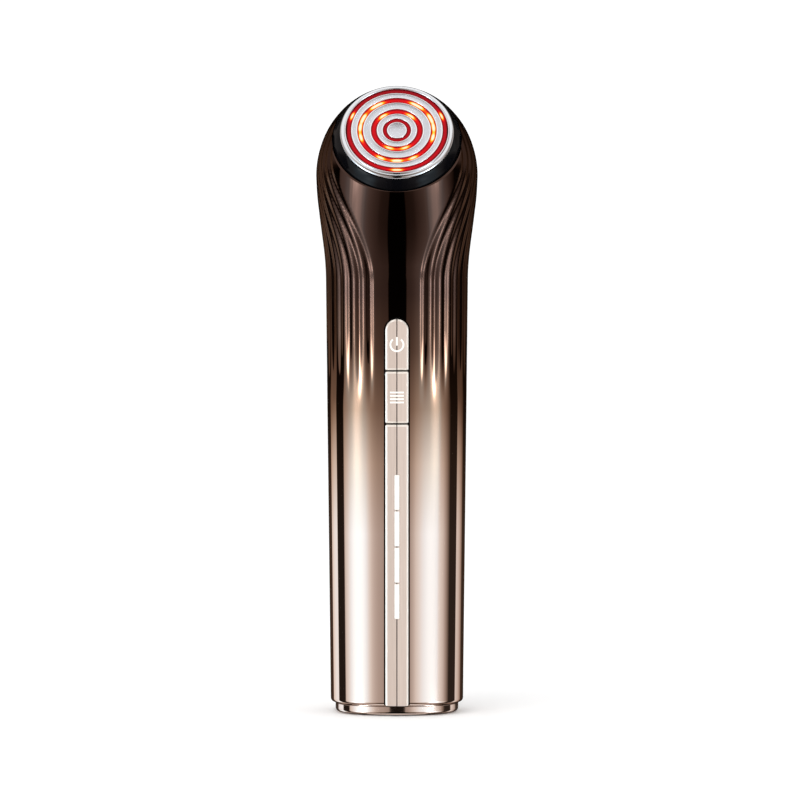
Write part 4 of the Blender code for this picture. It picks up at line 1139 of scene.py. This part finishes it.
def base_ring(inset, z):
    depth = GRIP_DEPTH_RATIO * BASE_HALF_WIDTH - inset
    x, y, _, _ = even_oval(BASE_HALF_WIDTH - inset, depth, depth, GRIP_SQUARENESS, BASE_SIDES)
    return [(float(px), float(py), z) for px, py in zip(x, y)]


def base_rings(profile):
    return [base_ring(inset * MM, z * MM) for inset, z in profile]


def hole_rods(places, radius, bottom, top):
    bm = bmesh.new()
    for x, y in places:
        add_rod(bm, (x, y, bottom), (x, y, top), radius)
    return mesh_of("holes", bm)


def node_axis(node):
    low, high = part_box(node)
    middle = (low + high) / 2
    return middle.x, middle.y


def build_base(settings):
    """The cap with a rolled lower edge and seal groove, and the pad under it."""
    still = Matrix.Identity(4)
    roll = arc_points((1, 1.3), 1, 270, 180, 6)
    screws = [node_axis("base_screw_left"), node_axis("base_screw_right")]
    pins = [node_axis("charge_contact_left"), node_axis("charge_contact_right")]
    wall = base_rings([*CAP_INSIDE, *roll, *CAP_OUTSIDE])
    cap = boolean_mesh("base cap", loft_mesh("base cap", wall), [
        ("DIFFERENCE", hole_rods(screws, SCREW_HEAD_HOLE, 0, SCREW_SEAT), still),
        ("DIFFERENCE", hole_rods(screws, SCREW_HOLE, 0, CAP_HOLE_TOP), still),
        ("DIFFERENCE", hole_rods(pins, PIN_HOLE, 0, CAP_HOLE_TOP), still),
    ])
    lacquer = champagne_lacquer(settings)
    finish_piece("base_ring_cap", cap, [lacquer], ["base_cap"])
    pad = boolean_mesh("base pad", loft_mesh("base pad", base_rings(PAD_SIDE)), [
        ("DIFFERENCE", hole_rods(pins, PAD_PIN_HOLE, -MM, 2 * MM), still),
    ])
    finish_piece("anti_slip_pad", pad, [inner_finish("rubber")], ["base_pad"])


# Inner pieces

def dress_inner_nodes():
    """Every node that is still shown as packed gets the finish of its own slot."""
    finishes = {slot: inner_finish(slot) for slot in INNER_FINISHES}
    for part in frame["record"]["subparts"]:
        item = frame["nodes"][part["node"]]
        if not item.hide_render and part["material_slot"] in finishes:
            item.data.materials.clear()
            item.data.materials.append(finishes[part["material_slot"]])


# Stage

# Soft light round the wand by angle from the camera, as (degrees, left, right).
TENT = (
    (0, 0.01, 0.01), (4.0, 0.01, 0.01), (4.4, 0.42, 0.01), (4.7, 0.42, 0.01), (5.1, 0.42, 0.42),
    (9, 0.45, 0.5), (12, 0.5, 0.63), (15, 0.52, 0.8), (20, 0.62, 1.0), (24, 0.75, 1.17),
    (28, 0.95, 1.3), (32, 1.2, 1.42), (36, 1.42, 1.5), (41, 1.6, 1.5), (46, 1.66, 1.46),
    (52, 1.66, 1.3), (56, 1.62, 1.05), (61, 1.52, 0.88), (67, 1.3, 0.74), (75, 1.0, 0.45),
    (82, 0.8, 0.2), (85, 0.7, 0.1), (87, 0.02, 0.03), (112, 0.02, 0.03), (114, 1.25, 0.85),
    (128, 1.2, 0.7), (141, 1.0, 0.3), (143, 0.06, 0.05), (180, 0.06, 0.05),
)
# The strong light that draws the stripes on the dark lacquer, as (degrees, left, right).
STRIPE_LIGHT = (
    (0, 0, 0), (35, 0, 0), (39, 3, 5), (43, 10, 13), (48, 17, 16), (53, 17, 13), (58, 8, 4),
    (63, 1, 0), (70, 0, 0), (180, 0, 0),
)
# The soft light low down, which the flare under the head mirrors.
LOW_TENT = (
    (0, 0.01), (4.0, 0.01), (4.6, 0.3), (9, 0.36), (20, 0.6), (30, 0.95), (40, 1.4), (50, 2.0),
    (60, 2.5), (70, 2.2), (78, 1.2), (84, 0.5), (87, 0.02), (180, 0.02),
)
RIGHT_SHARE = 0.85
DARK_BAND = (85, 113)
# Elevation, shares of the soft, stripe and low light, light in the dark band, share of the
# back light, and width of the gap in front.
TENT_ROWS = (
    (-70, 0, 0, 0.05, 0.02, 0.05, 2.2), (-40, 0, 0, 0.3, 0.02, 0.5, 2.3),
    (-28, 0, 0.1, 0.65, 0.02, 1.2, 2.25), (-21, 0, 0.03, 0.65, 0.02, 1.2, 1.6),
    (-14, 0.4, 0.18, 0.5, 0.02, 1, 1.2), (-8, 1, 0.9, 0, 0.02, 0.6, 0.98),
    (-7.6, 1, 0.5, 0, 0.02, 0.8, 0.95), (-7.1, 1, 0, 0, 0.02, 1, 0.95),
    (-4.2, 1, 0, 0, 0.02, 1, 1.0), (-3.5, 1, 0.02, 0, 0.02, 1, 1.0),
    (-2.9, 1, 0.05, 0, 0.02, 0.9, 1.0), (-2.4, 1, 0.08, 0, 0.02, 0.8, 1.0),
    (-2.0, 1, 0.09, 0, 0.02, 0.6, 1.02), (-1.7, 1, 0.11, 0, 0.02, 0.45, 1.03),
    (-1.4, 1, 0.14, 0, 0.02, 0.4, 1.04), (-1.1, 1, 0.24, 0, 0.02, 0.4, 1.05),
    (-0.8, 1, 0.5, 0, 0.02, 0.4, 1.07), (-0.5, 1, 1, 0, 0.02, 0.4, 1.08),
    (0.5, 1, 1, 0, 0.02, 0.4, 1.08), (2, 1, 0.5, 0, 0.02, 0.4, 1.08),
    (6, 1, 0.05, 0, 0.1, 0.4, 1.04), (10, 1, 0, 0, 0.5, 0.4, 1), (18, 0.5, 0, 0, 0.5, 0.3, 1),
    (42, 0.35, 0, 0, 0.5, 0.3, 1), (56, 0.7, 0, 0, 0.9, 0.8, 1),
)


def tent_light(row, angle, level):
    """Brightness and shifted angle of a spot of the tent in a row."""
    _, soft, stripe, low, band, back, gap = row
    if abs(angle) < DARK_BAND[0]:
        angles, left, right = zip(*STRIPE_LIGHT)
        stripe_level = float(np.interp(abs(angle), angles, right if angle > 0 else left))
        low_level = float(np.interp(abs(angle), *zip(*LOW_TENT)))
        low_level *= RIGHT_SHARE if angle > 0 else 1
        level = level * soft + stripe * stripe_level + low * low_level
    elif abs(angle) < DARK_BAND[1]:
        level = max(level, band)
    else:
        level *= back
    shift = min(abs(angle), 9) * (gap - 1) * min(max((20 - abs(angle)) / 8, 0), 1)
    return level, angle + math.copysign(shift, angle)


def tent_mesh(settings):
    """Upright panels round the wand that show only as reflections, under a ceiling panel."""
    radius = settings.tent_radius
    sides = [(-angle, left) for angle, left, _ in TENT[1:][::-1]]
    sides += [(angle, right) for angle, _, right in TENT]
    points = []
    bright = []
    for row in TENT_ROWS:
        height = radius * math.tan(math.radians(row[0]))
        for angle, value in sides:
            value, angle = tent_light(row, angle, value)
            turn = math.radians(angle)
            points.append((radius * math.sin(turn), -radius * math.cos(turn), height))
            bright.append(value)
    count = len(sides)
    faces = []
    for row in range(len(TENT_ROWS) - 1):
        for step in range(count - 1):
            corner = row * count + step
            faces.append((corner, corner + 1, corner + count + 1, corner + count))
    mesh = bpy.data.meshes.new("reflection tent")
    mesh.from_pydata(points, [], faces)
    level = mesh.attributes.new("brightness", "FLOAT", "POINT")
    level.data.foreach_set("value", bright)
    return mesh


def glowing_fabric(name, strength, attribute=None):
    """Lit diffusion fabric: plain white light, graded where the panel is graded."""
    material = bpy.data.materials.new(name)
    material.use_nodes = True
    tree = material.node_tree
    tree.nodes.clear()
    lamp = add_node(tree, "Emission", {"Strength": strength})
    if attribute:
        level = add_node(tree, "Attribute", attribute_name=attribute).outputs["Fac"]
        scaled = add_node(tree, "Math", {0: level, 1: strength}, operation="MULTIPLY")
        tree.links.new(scaled.outputs["Value"], lamp.inputs["Strength"])
        stops = (
            (0.0, (1.0, 0.75, 0.6)), (1.0, (0.88, 0.98, 1.04)), (0.125, (1.0, 0.9, 0.85)),
            (0.21, (1.0, 1.0, 1.0)), (0.32, (0.85, 1.0, 1.12)), (0.42, (0.8, 0.98, 1.1)),
            (0.55, (0.82, 0.98, 1.08)),
        )
        links = {"Value": level, "From Max": 4}
        share = add_node(tree, "MapRange", links).outputs["Result"]
        tint = add_node(tree, "ValToRGB", {"Fac": share}, stops).outputs["Color"]
        tree.links.new(tint, lamp.inputs["Color"])
    add_node(tree, "OutputMaterial", {"Surface": lamp.outputs["Emission"]})
    material.cycles.emission_sampling = "NONE"
    return material


def stage_object(name, mesh, material, **visibility):
    mesh.materials.append(material)
    item = bpy.data.objects.new(name, mesh)
    bpy.context.scene.collection.objects.link(item)
    for setting, value in visibility.items():
        setattr(item, "visible_" + setting, value)
    item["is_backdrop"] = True
    return item


def disc_mesh(name, radius, height):
    bm = bmesh.new()
    bmesh.ops.create_circle(
        bm, cap_ends=True, segments=96, radius=radius, matrix=Matrix.Translation((0, 0, height)),
    )
    return mesh_of(name, bm)


def build_stage(settings):
    hidden = {"camera": False, "diffuse": False, "shadow": False}
    tent = glowing_fabric("diffusion fabric, graded", settings.tent_light, "brightness")
    stage_object("reflection_tent", tent_mesh(settings), tent, **hidden)
    ceiling = glowing_fabric("diffusion fabric, overhead", settings.ceiling_light)
    height = settings.tent_radius * math.tan(math.radians(TENT_ROWS[-1][0]))
    panel = disc_mesh("ceiling", settings.tent_radius, height)
    stage_object("ceiling_panel", panel, ceiling, **hidden)
    floor, shader = new_finish("painted floor, matt white", srgb("#fcfcfc"), 0.9)
    add_grain(floor, shader, 4 * MM, 0.01 * MM, 0.003)
    stage_object("floor", disc_mesh("floor", 12, 0), floor, glossy=False)
    world = bpy.data.worlds.new("studio")
    world.use_nodes = True
    world.node_tree.nodes["Background"].inputs["Color"].default_value = (1, 1, 1, 1)
    world.node_tree.nodes["Background"].inputs["Strength"].default_value = settings.room_light
    bpy.context.scene.world = world
    bpy.context.scene.view_settings.view_transform = "Standard"
    lamp = bpy.data.lights.new("soft_key", "AREA")
    lamp.size = 0.9
    lamp.energy = settings.key_light
    item = bpy.data.objects.new("soft_key", lamp)
    item.location = (-0.5, -0.7, 1.1)
    item.rotation_euler = (Vector((0, 0, 0.1)) - item.location).to_track_quat("-Z", "Y").to_euler()
    item.visible_glossy = False
    item.visible_camera = False
    bpy.context.scene.collection.objects.link(item)
    build_camera(settings)


def build_camera(settings):
    """A long lens level with the wand, aimed just beside its middle."""
    low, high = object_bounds()
    middle = Vector((settings.camera_side, 0, centre_of((low.z, high.z)) - settings.camera_drop))
    rise = math.radians(settings.camera_rise)
    back = Vector((0, -math.cos(rise), math.sin(rise)))
    camera = bpy.data.cameras.new("camera")
    camera.sensor_width = 36
    camera.lens = camera.sensor_width * settings.camera_distance / settings.view_width
    item = bpy.data.objects.new("camera", camera)
    item.location = middle + back * settings.camera_distance
    item.rotation_euler = (-back).to_track_quat("-Z", "Y").to_euler()
    bpy.context.scene.collection.objects.link(item)
    bpy.context.scene.camera = item


# Settings, operators and panel

class WAND_PG_casing(bpy.types.PropertyGroup):
    """Sizes and colours of the casing and base."""
    base_colour: FloatVectorProperty(
        name="Base Colour", description="Lacquer at the bottom of the grip",
        subtype="COLOR", size=3, min=0, max=1, default=srgb("#e7cfc1"))
    upper_base_colour: FloatVectorProperty(
        name="Upper Base Colour", description="Lacquer where the fade starts to show",
        subtype="COLOR", size=3, min=0, max=1, default=srgb("#ceb09c"))
    middle_colour: FloatVectorProperty(
        name="Middle Colour", description="Lacquer where the fade is half done",
        subtype="COLOR", size=3, min=0, max=1, default=srgb("#977864"))
    lower_head_colour: FloatVectorProperty(
        name="Lower Head Colour", description="Lacquer where the fade is nearly done",
        subtype="COLOR", size=3, min=0, max=1, default=srgb("#634a3d"))
    head_colour: FloatVectorProperty(
        name="Head Colour", description="Lacquer on the head and upper grip",
        subtype="COLOR", size=3, min=0, max=1, default=srgb("#45322b"))
    fade_bottom: FloatProperty(
        name="Fade Bottom", description="Height where the champagne lacquer starts to darken",
        unit="LENGTH", min=0, default=58 * MM)
    fade_top: FloatProperty(
        name="Fade Top", description="Height where the lacquer is fully dark",
        unit="LENGTH", min=0, default=134 * MM)
    edge_tint: FloatVectorProperty(
        name="Edge Tint", description="Tint of the metal where it is seen at a low angle",
        subtype="COLOR", size=3, min=0, max=1, default=(0.85, 0.66, 0.55))
    pleat_satin: FloatProperty(
        name="Pleat Roughness", description="Roughness of the pleats near the head",
        subtype="FACTOR", min=0, max=1, default=0.17)
    gloss: FloatProperty(
        name="Roughness", description="Roughness of the lacquered surface",
        subtype="FACTOR", min=0, max=1, default=0.04)
    pleat_pitch: FloatProperty(
        name="Pleat Pitch", description="Width of one pleat round the casing",
        unit="LENGTH", min=0.001, default=3.6 * MM)
    pleat_depth: FloatProperty(
        name="Pleat Depth", description="How far the valleys cut into the casing",
        unit="LENGTH", min=0, max=1 * MM, default=0.38 * MM)
    pleat_softness: FloatProperty(
        name="Valley Softness", description="Roundness of the valleys between pleats",
        subtype="FACTOR", min=0, max=1, default=0.4)
    pleat_count: IntProperty(
        name="Pleats", description="Pleats on each side", min=0, max=12, default=9)


class WAND_PG_controls(bpy.types.PropertyGroup):
    """Sizes and colours of the strip, keys and windows."""
    trim_colour: FloatVectorProperty(
        name="Trim Colour", description="Metallised strip and keys",
        subtype="COLOR", size=3, min=0, max=1, default=srgb("#f3e3d8"))
    # Painted highlight: the near-white colour of the strip and key bevels, which keeps them looking
    # lit all round
    edge_highlight_colour: FloatVectorProperty(
        name="Edge Colour", description="Polished bevels of the strip and keys",
        subtype="COLOR", size=3, min=0, max=1, default=srgb("#fbf3ea"))
    ink_colour: FloatVectorProperty(
        name="Ink Colour", description="Printed signs on the keys",
        subtype="COLOR", size=3, min=0, max=1, default=srgb("#fbf6ef"))
    icon_size: FloatProperty(
        name="Sign Size", description="Outer diameter of the power sign",
        unit="LENGTH", min=0.001, default=4.7 * MM)
    icon_stroke: FloatProperty(
        name="Sign Stroke", description="Line width of the power sign",
        unit="LENGTH", min=0.0001, default=0.58 * MM)
    window_colour: FloatVectorProperty(
        name="Window Colour", description="Light of the level windows",
        subtype="COLOR", size=3, min=0, max=1, default=srgb("#fffdf8"))
    window_glow: FloatProperty(
        name="Window Glow", description="Brightness of the level windows",
        min=0, max=10, default=0.8)


class WAND_PG_face(bpy.types.PropertyGroup):
    """Colours of the treatment face."""
    lens_colour: FloatVectorProperty(
        name="Lens Colour", description="Tint of the light plate",
        subtype="COLOR", size=3, min=0, max=1, default=srgb("#4a0008"))
    lens_glow: FloatProperty(
        name="Lens Glow", description="Brightness of the light plate",
        min=0, max=10, default=1.0)


class WAND_PG_stage(bpy.types.PropertyGroup):
    """Studio light and camera."""
    tent_radius: FloatProperty(
        name="Tent Radius", description="Distance of the reflected panels",
        unit="LENGTH", min=0.5, default=4.0)
    tent_light: FloatProperty(
        name="Tent Light", description="Brightness of the upright panels", min=0, default=1.0)
    ceiling_light: FloatProperty(
        name="Ceiling Light", description="Brightness of the overhead panel", min=0, default=1.05)
    room_light: FloatProperty(
        name="Room Light", description="Even light of the white room", min=0, default=1.12)
    key_light: FloatProperty(
        name="Key Light", description="Power of the soft key light in watts", min=0, default=4.0)
    camera_distance: FloatProperty(
        name="Camera Distance", description="From the wand's middle to the camera",
        unit="LENGTH", min=0.3, default=1.7)
    camera_rise: FloatProperty(
        name="Camera Rise", description="Camera elevation in degrees", min=-89, max=89, default=2.6)
    camera_side: FloatProperty(
        name="Camera Side", description="Sideways offset of the camera",
        unit="LENGTH", default=0.98 * MM)
    camera_drop: FloatProperty(
        name="Camera Drop", description="How far below the wand's middle the camera aims",
        unit="LENGTH", default=0.28 * MM)
    view_width: FloatProperty(
        name="View Width", description="Width that the camera frames at the wand",
        unit="LENGTH", min=0.01, default=256 * MM)


class WAND_OT_casing(bpy.types.Operator):
    """Build the pleated front and rear casings"""
    bl_idname = "wand.build_casing"
    bl_label = "Casings"

    def execute(self, context):
        build_casing(context.scene.wand_casing)
        return {"FINISHED"}


class WAND_OT_controls(bpy.types.Operator):
    """Build both keys and their printed signs"""
    bl_idname = "wand.build_controls"
    bl_label = "Keys"

    def execute(self, context):
        build_controls(context.scene.wand_controls)
        return {"FINISHED"}


class WAND_OT_strip(bpy.types.Operator):
    """Build the level strip and its light windows"""
    bl_idname = "wand.build_strip"
    bl_label = "Level Strip"

    def execute(self, context):
        build_strip(context.scene.wand_controls)
        return {"FINISHED"}


class WAND_OT_head(bpy.types.Operator):
    """Build the chrome bezel and the black collar"""
    bl_idname = "wand.build_head"
    bl_label = "Bezel and Collar"

    def execute(self, context):
        build_head()
        return {"FINISHED"}


class WAND_OT_face(bpy.types.Operator):
    """Build the electrodes and the lit lens"""
    bl_idname = "wand.build_face"
    bl_label = "Treatment Face"

    def execute(self, context):
        build_face(context.scene.wand_face)
        return {"FINISHED"}


class WAND_OT_base(bpy.types.Operator):
    """Build the base cap and its pad"""
    bl_idname = "wand.build_base"
    bl_label = "Base"

    def execute(self, context):
        build_base(context.scene.wand_casing)
        return {"FINISHED"}


class WAND_OT_inside(bpy.types.Operator):
    """Give the inner pieces their finishes"""
    bl_idname = "wand.dress_inside"
    bl_label = "Inner Pieces"

    def execute(self, context):
        dress_inner_nodes()
        return {"FINISHED"}


class WAND_OT_stage(bpy.types.Operator):
    """Set the floor, studio light and camera"""
    bl_idname = "wand.build_stage"
    bl_label = "Stage"

    def execute(self, context):
        build_stage(context.scene.wand_stage)
        return {"FINISHED"}


OPERATORS = (
    WAND_OT_casing, WAND_OT_controls, WAND_OT_strip, WAND_OT_head, WAND_OT_face, WAND_OT_base,
    WAND_OT_inside, WAND_OT_stage,
)
SETTINGS = {
    "wand_casing": WAND_PG_casing,
    "wand_controls": WAND_PG_controls,
    "wand_face": WAND_PG_face,
    "wand_stage": WAND_PG_stage,
}


class WAND_PT_panel(bpy.types.Panel):
    """Lists the wand's build steps and their settings"""
    bl_idname = "WAND_PT_panel"
    bl_label = "Facial Care Wand"
    bl_space_type = "VIEW_3D"
    bl_region_type = "UI"
    bl_category = "Wand"

    def draw(self, context):
        for operator in OPERATORS:
            self.layout.operator(operator.bl_idname)
        for name, group in SETTINGS.items():
            box = self.layout.box()
            box.label(text=group.__doc__)
            for setting in group.__annotations__:
                box.prop(getattr(context.scene, name), setting)


def register():
    for item in (*SETTINGS.values(), *OPERATORS, WAND_PT_panel):
        bpy.utils.register_class(item)
    for name, group in SETTINGS.items():
        setattr(bpy.types.Scene, name, PointerProperty(type=group))


def unregister():
    for name in SETTINGS:
        delattr(bpy.types.Scene, name)
    for item in (WAND_PT_panel, *OPERATORS[::-1], *SETTINGS.values()):
        bpy.utils.unregister_class(item)


def main():
    register()
    bpy.ops.wand.build_casing()
    bpy.ops.wand.build_controls()
    bpy.ops.wand.build_strip()
    bpy.ops.wand.build_head()
    bpy.ops.wand.build_face()
    bpy.ops.wand.build_base()
    bpy.ops.wand.dress_inside()
    bpy.ops.wand.build_stage()


if __name__ == "__main__":
    main()
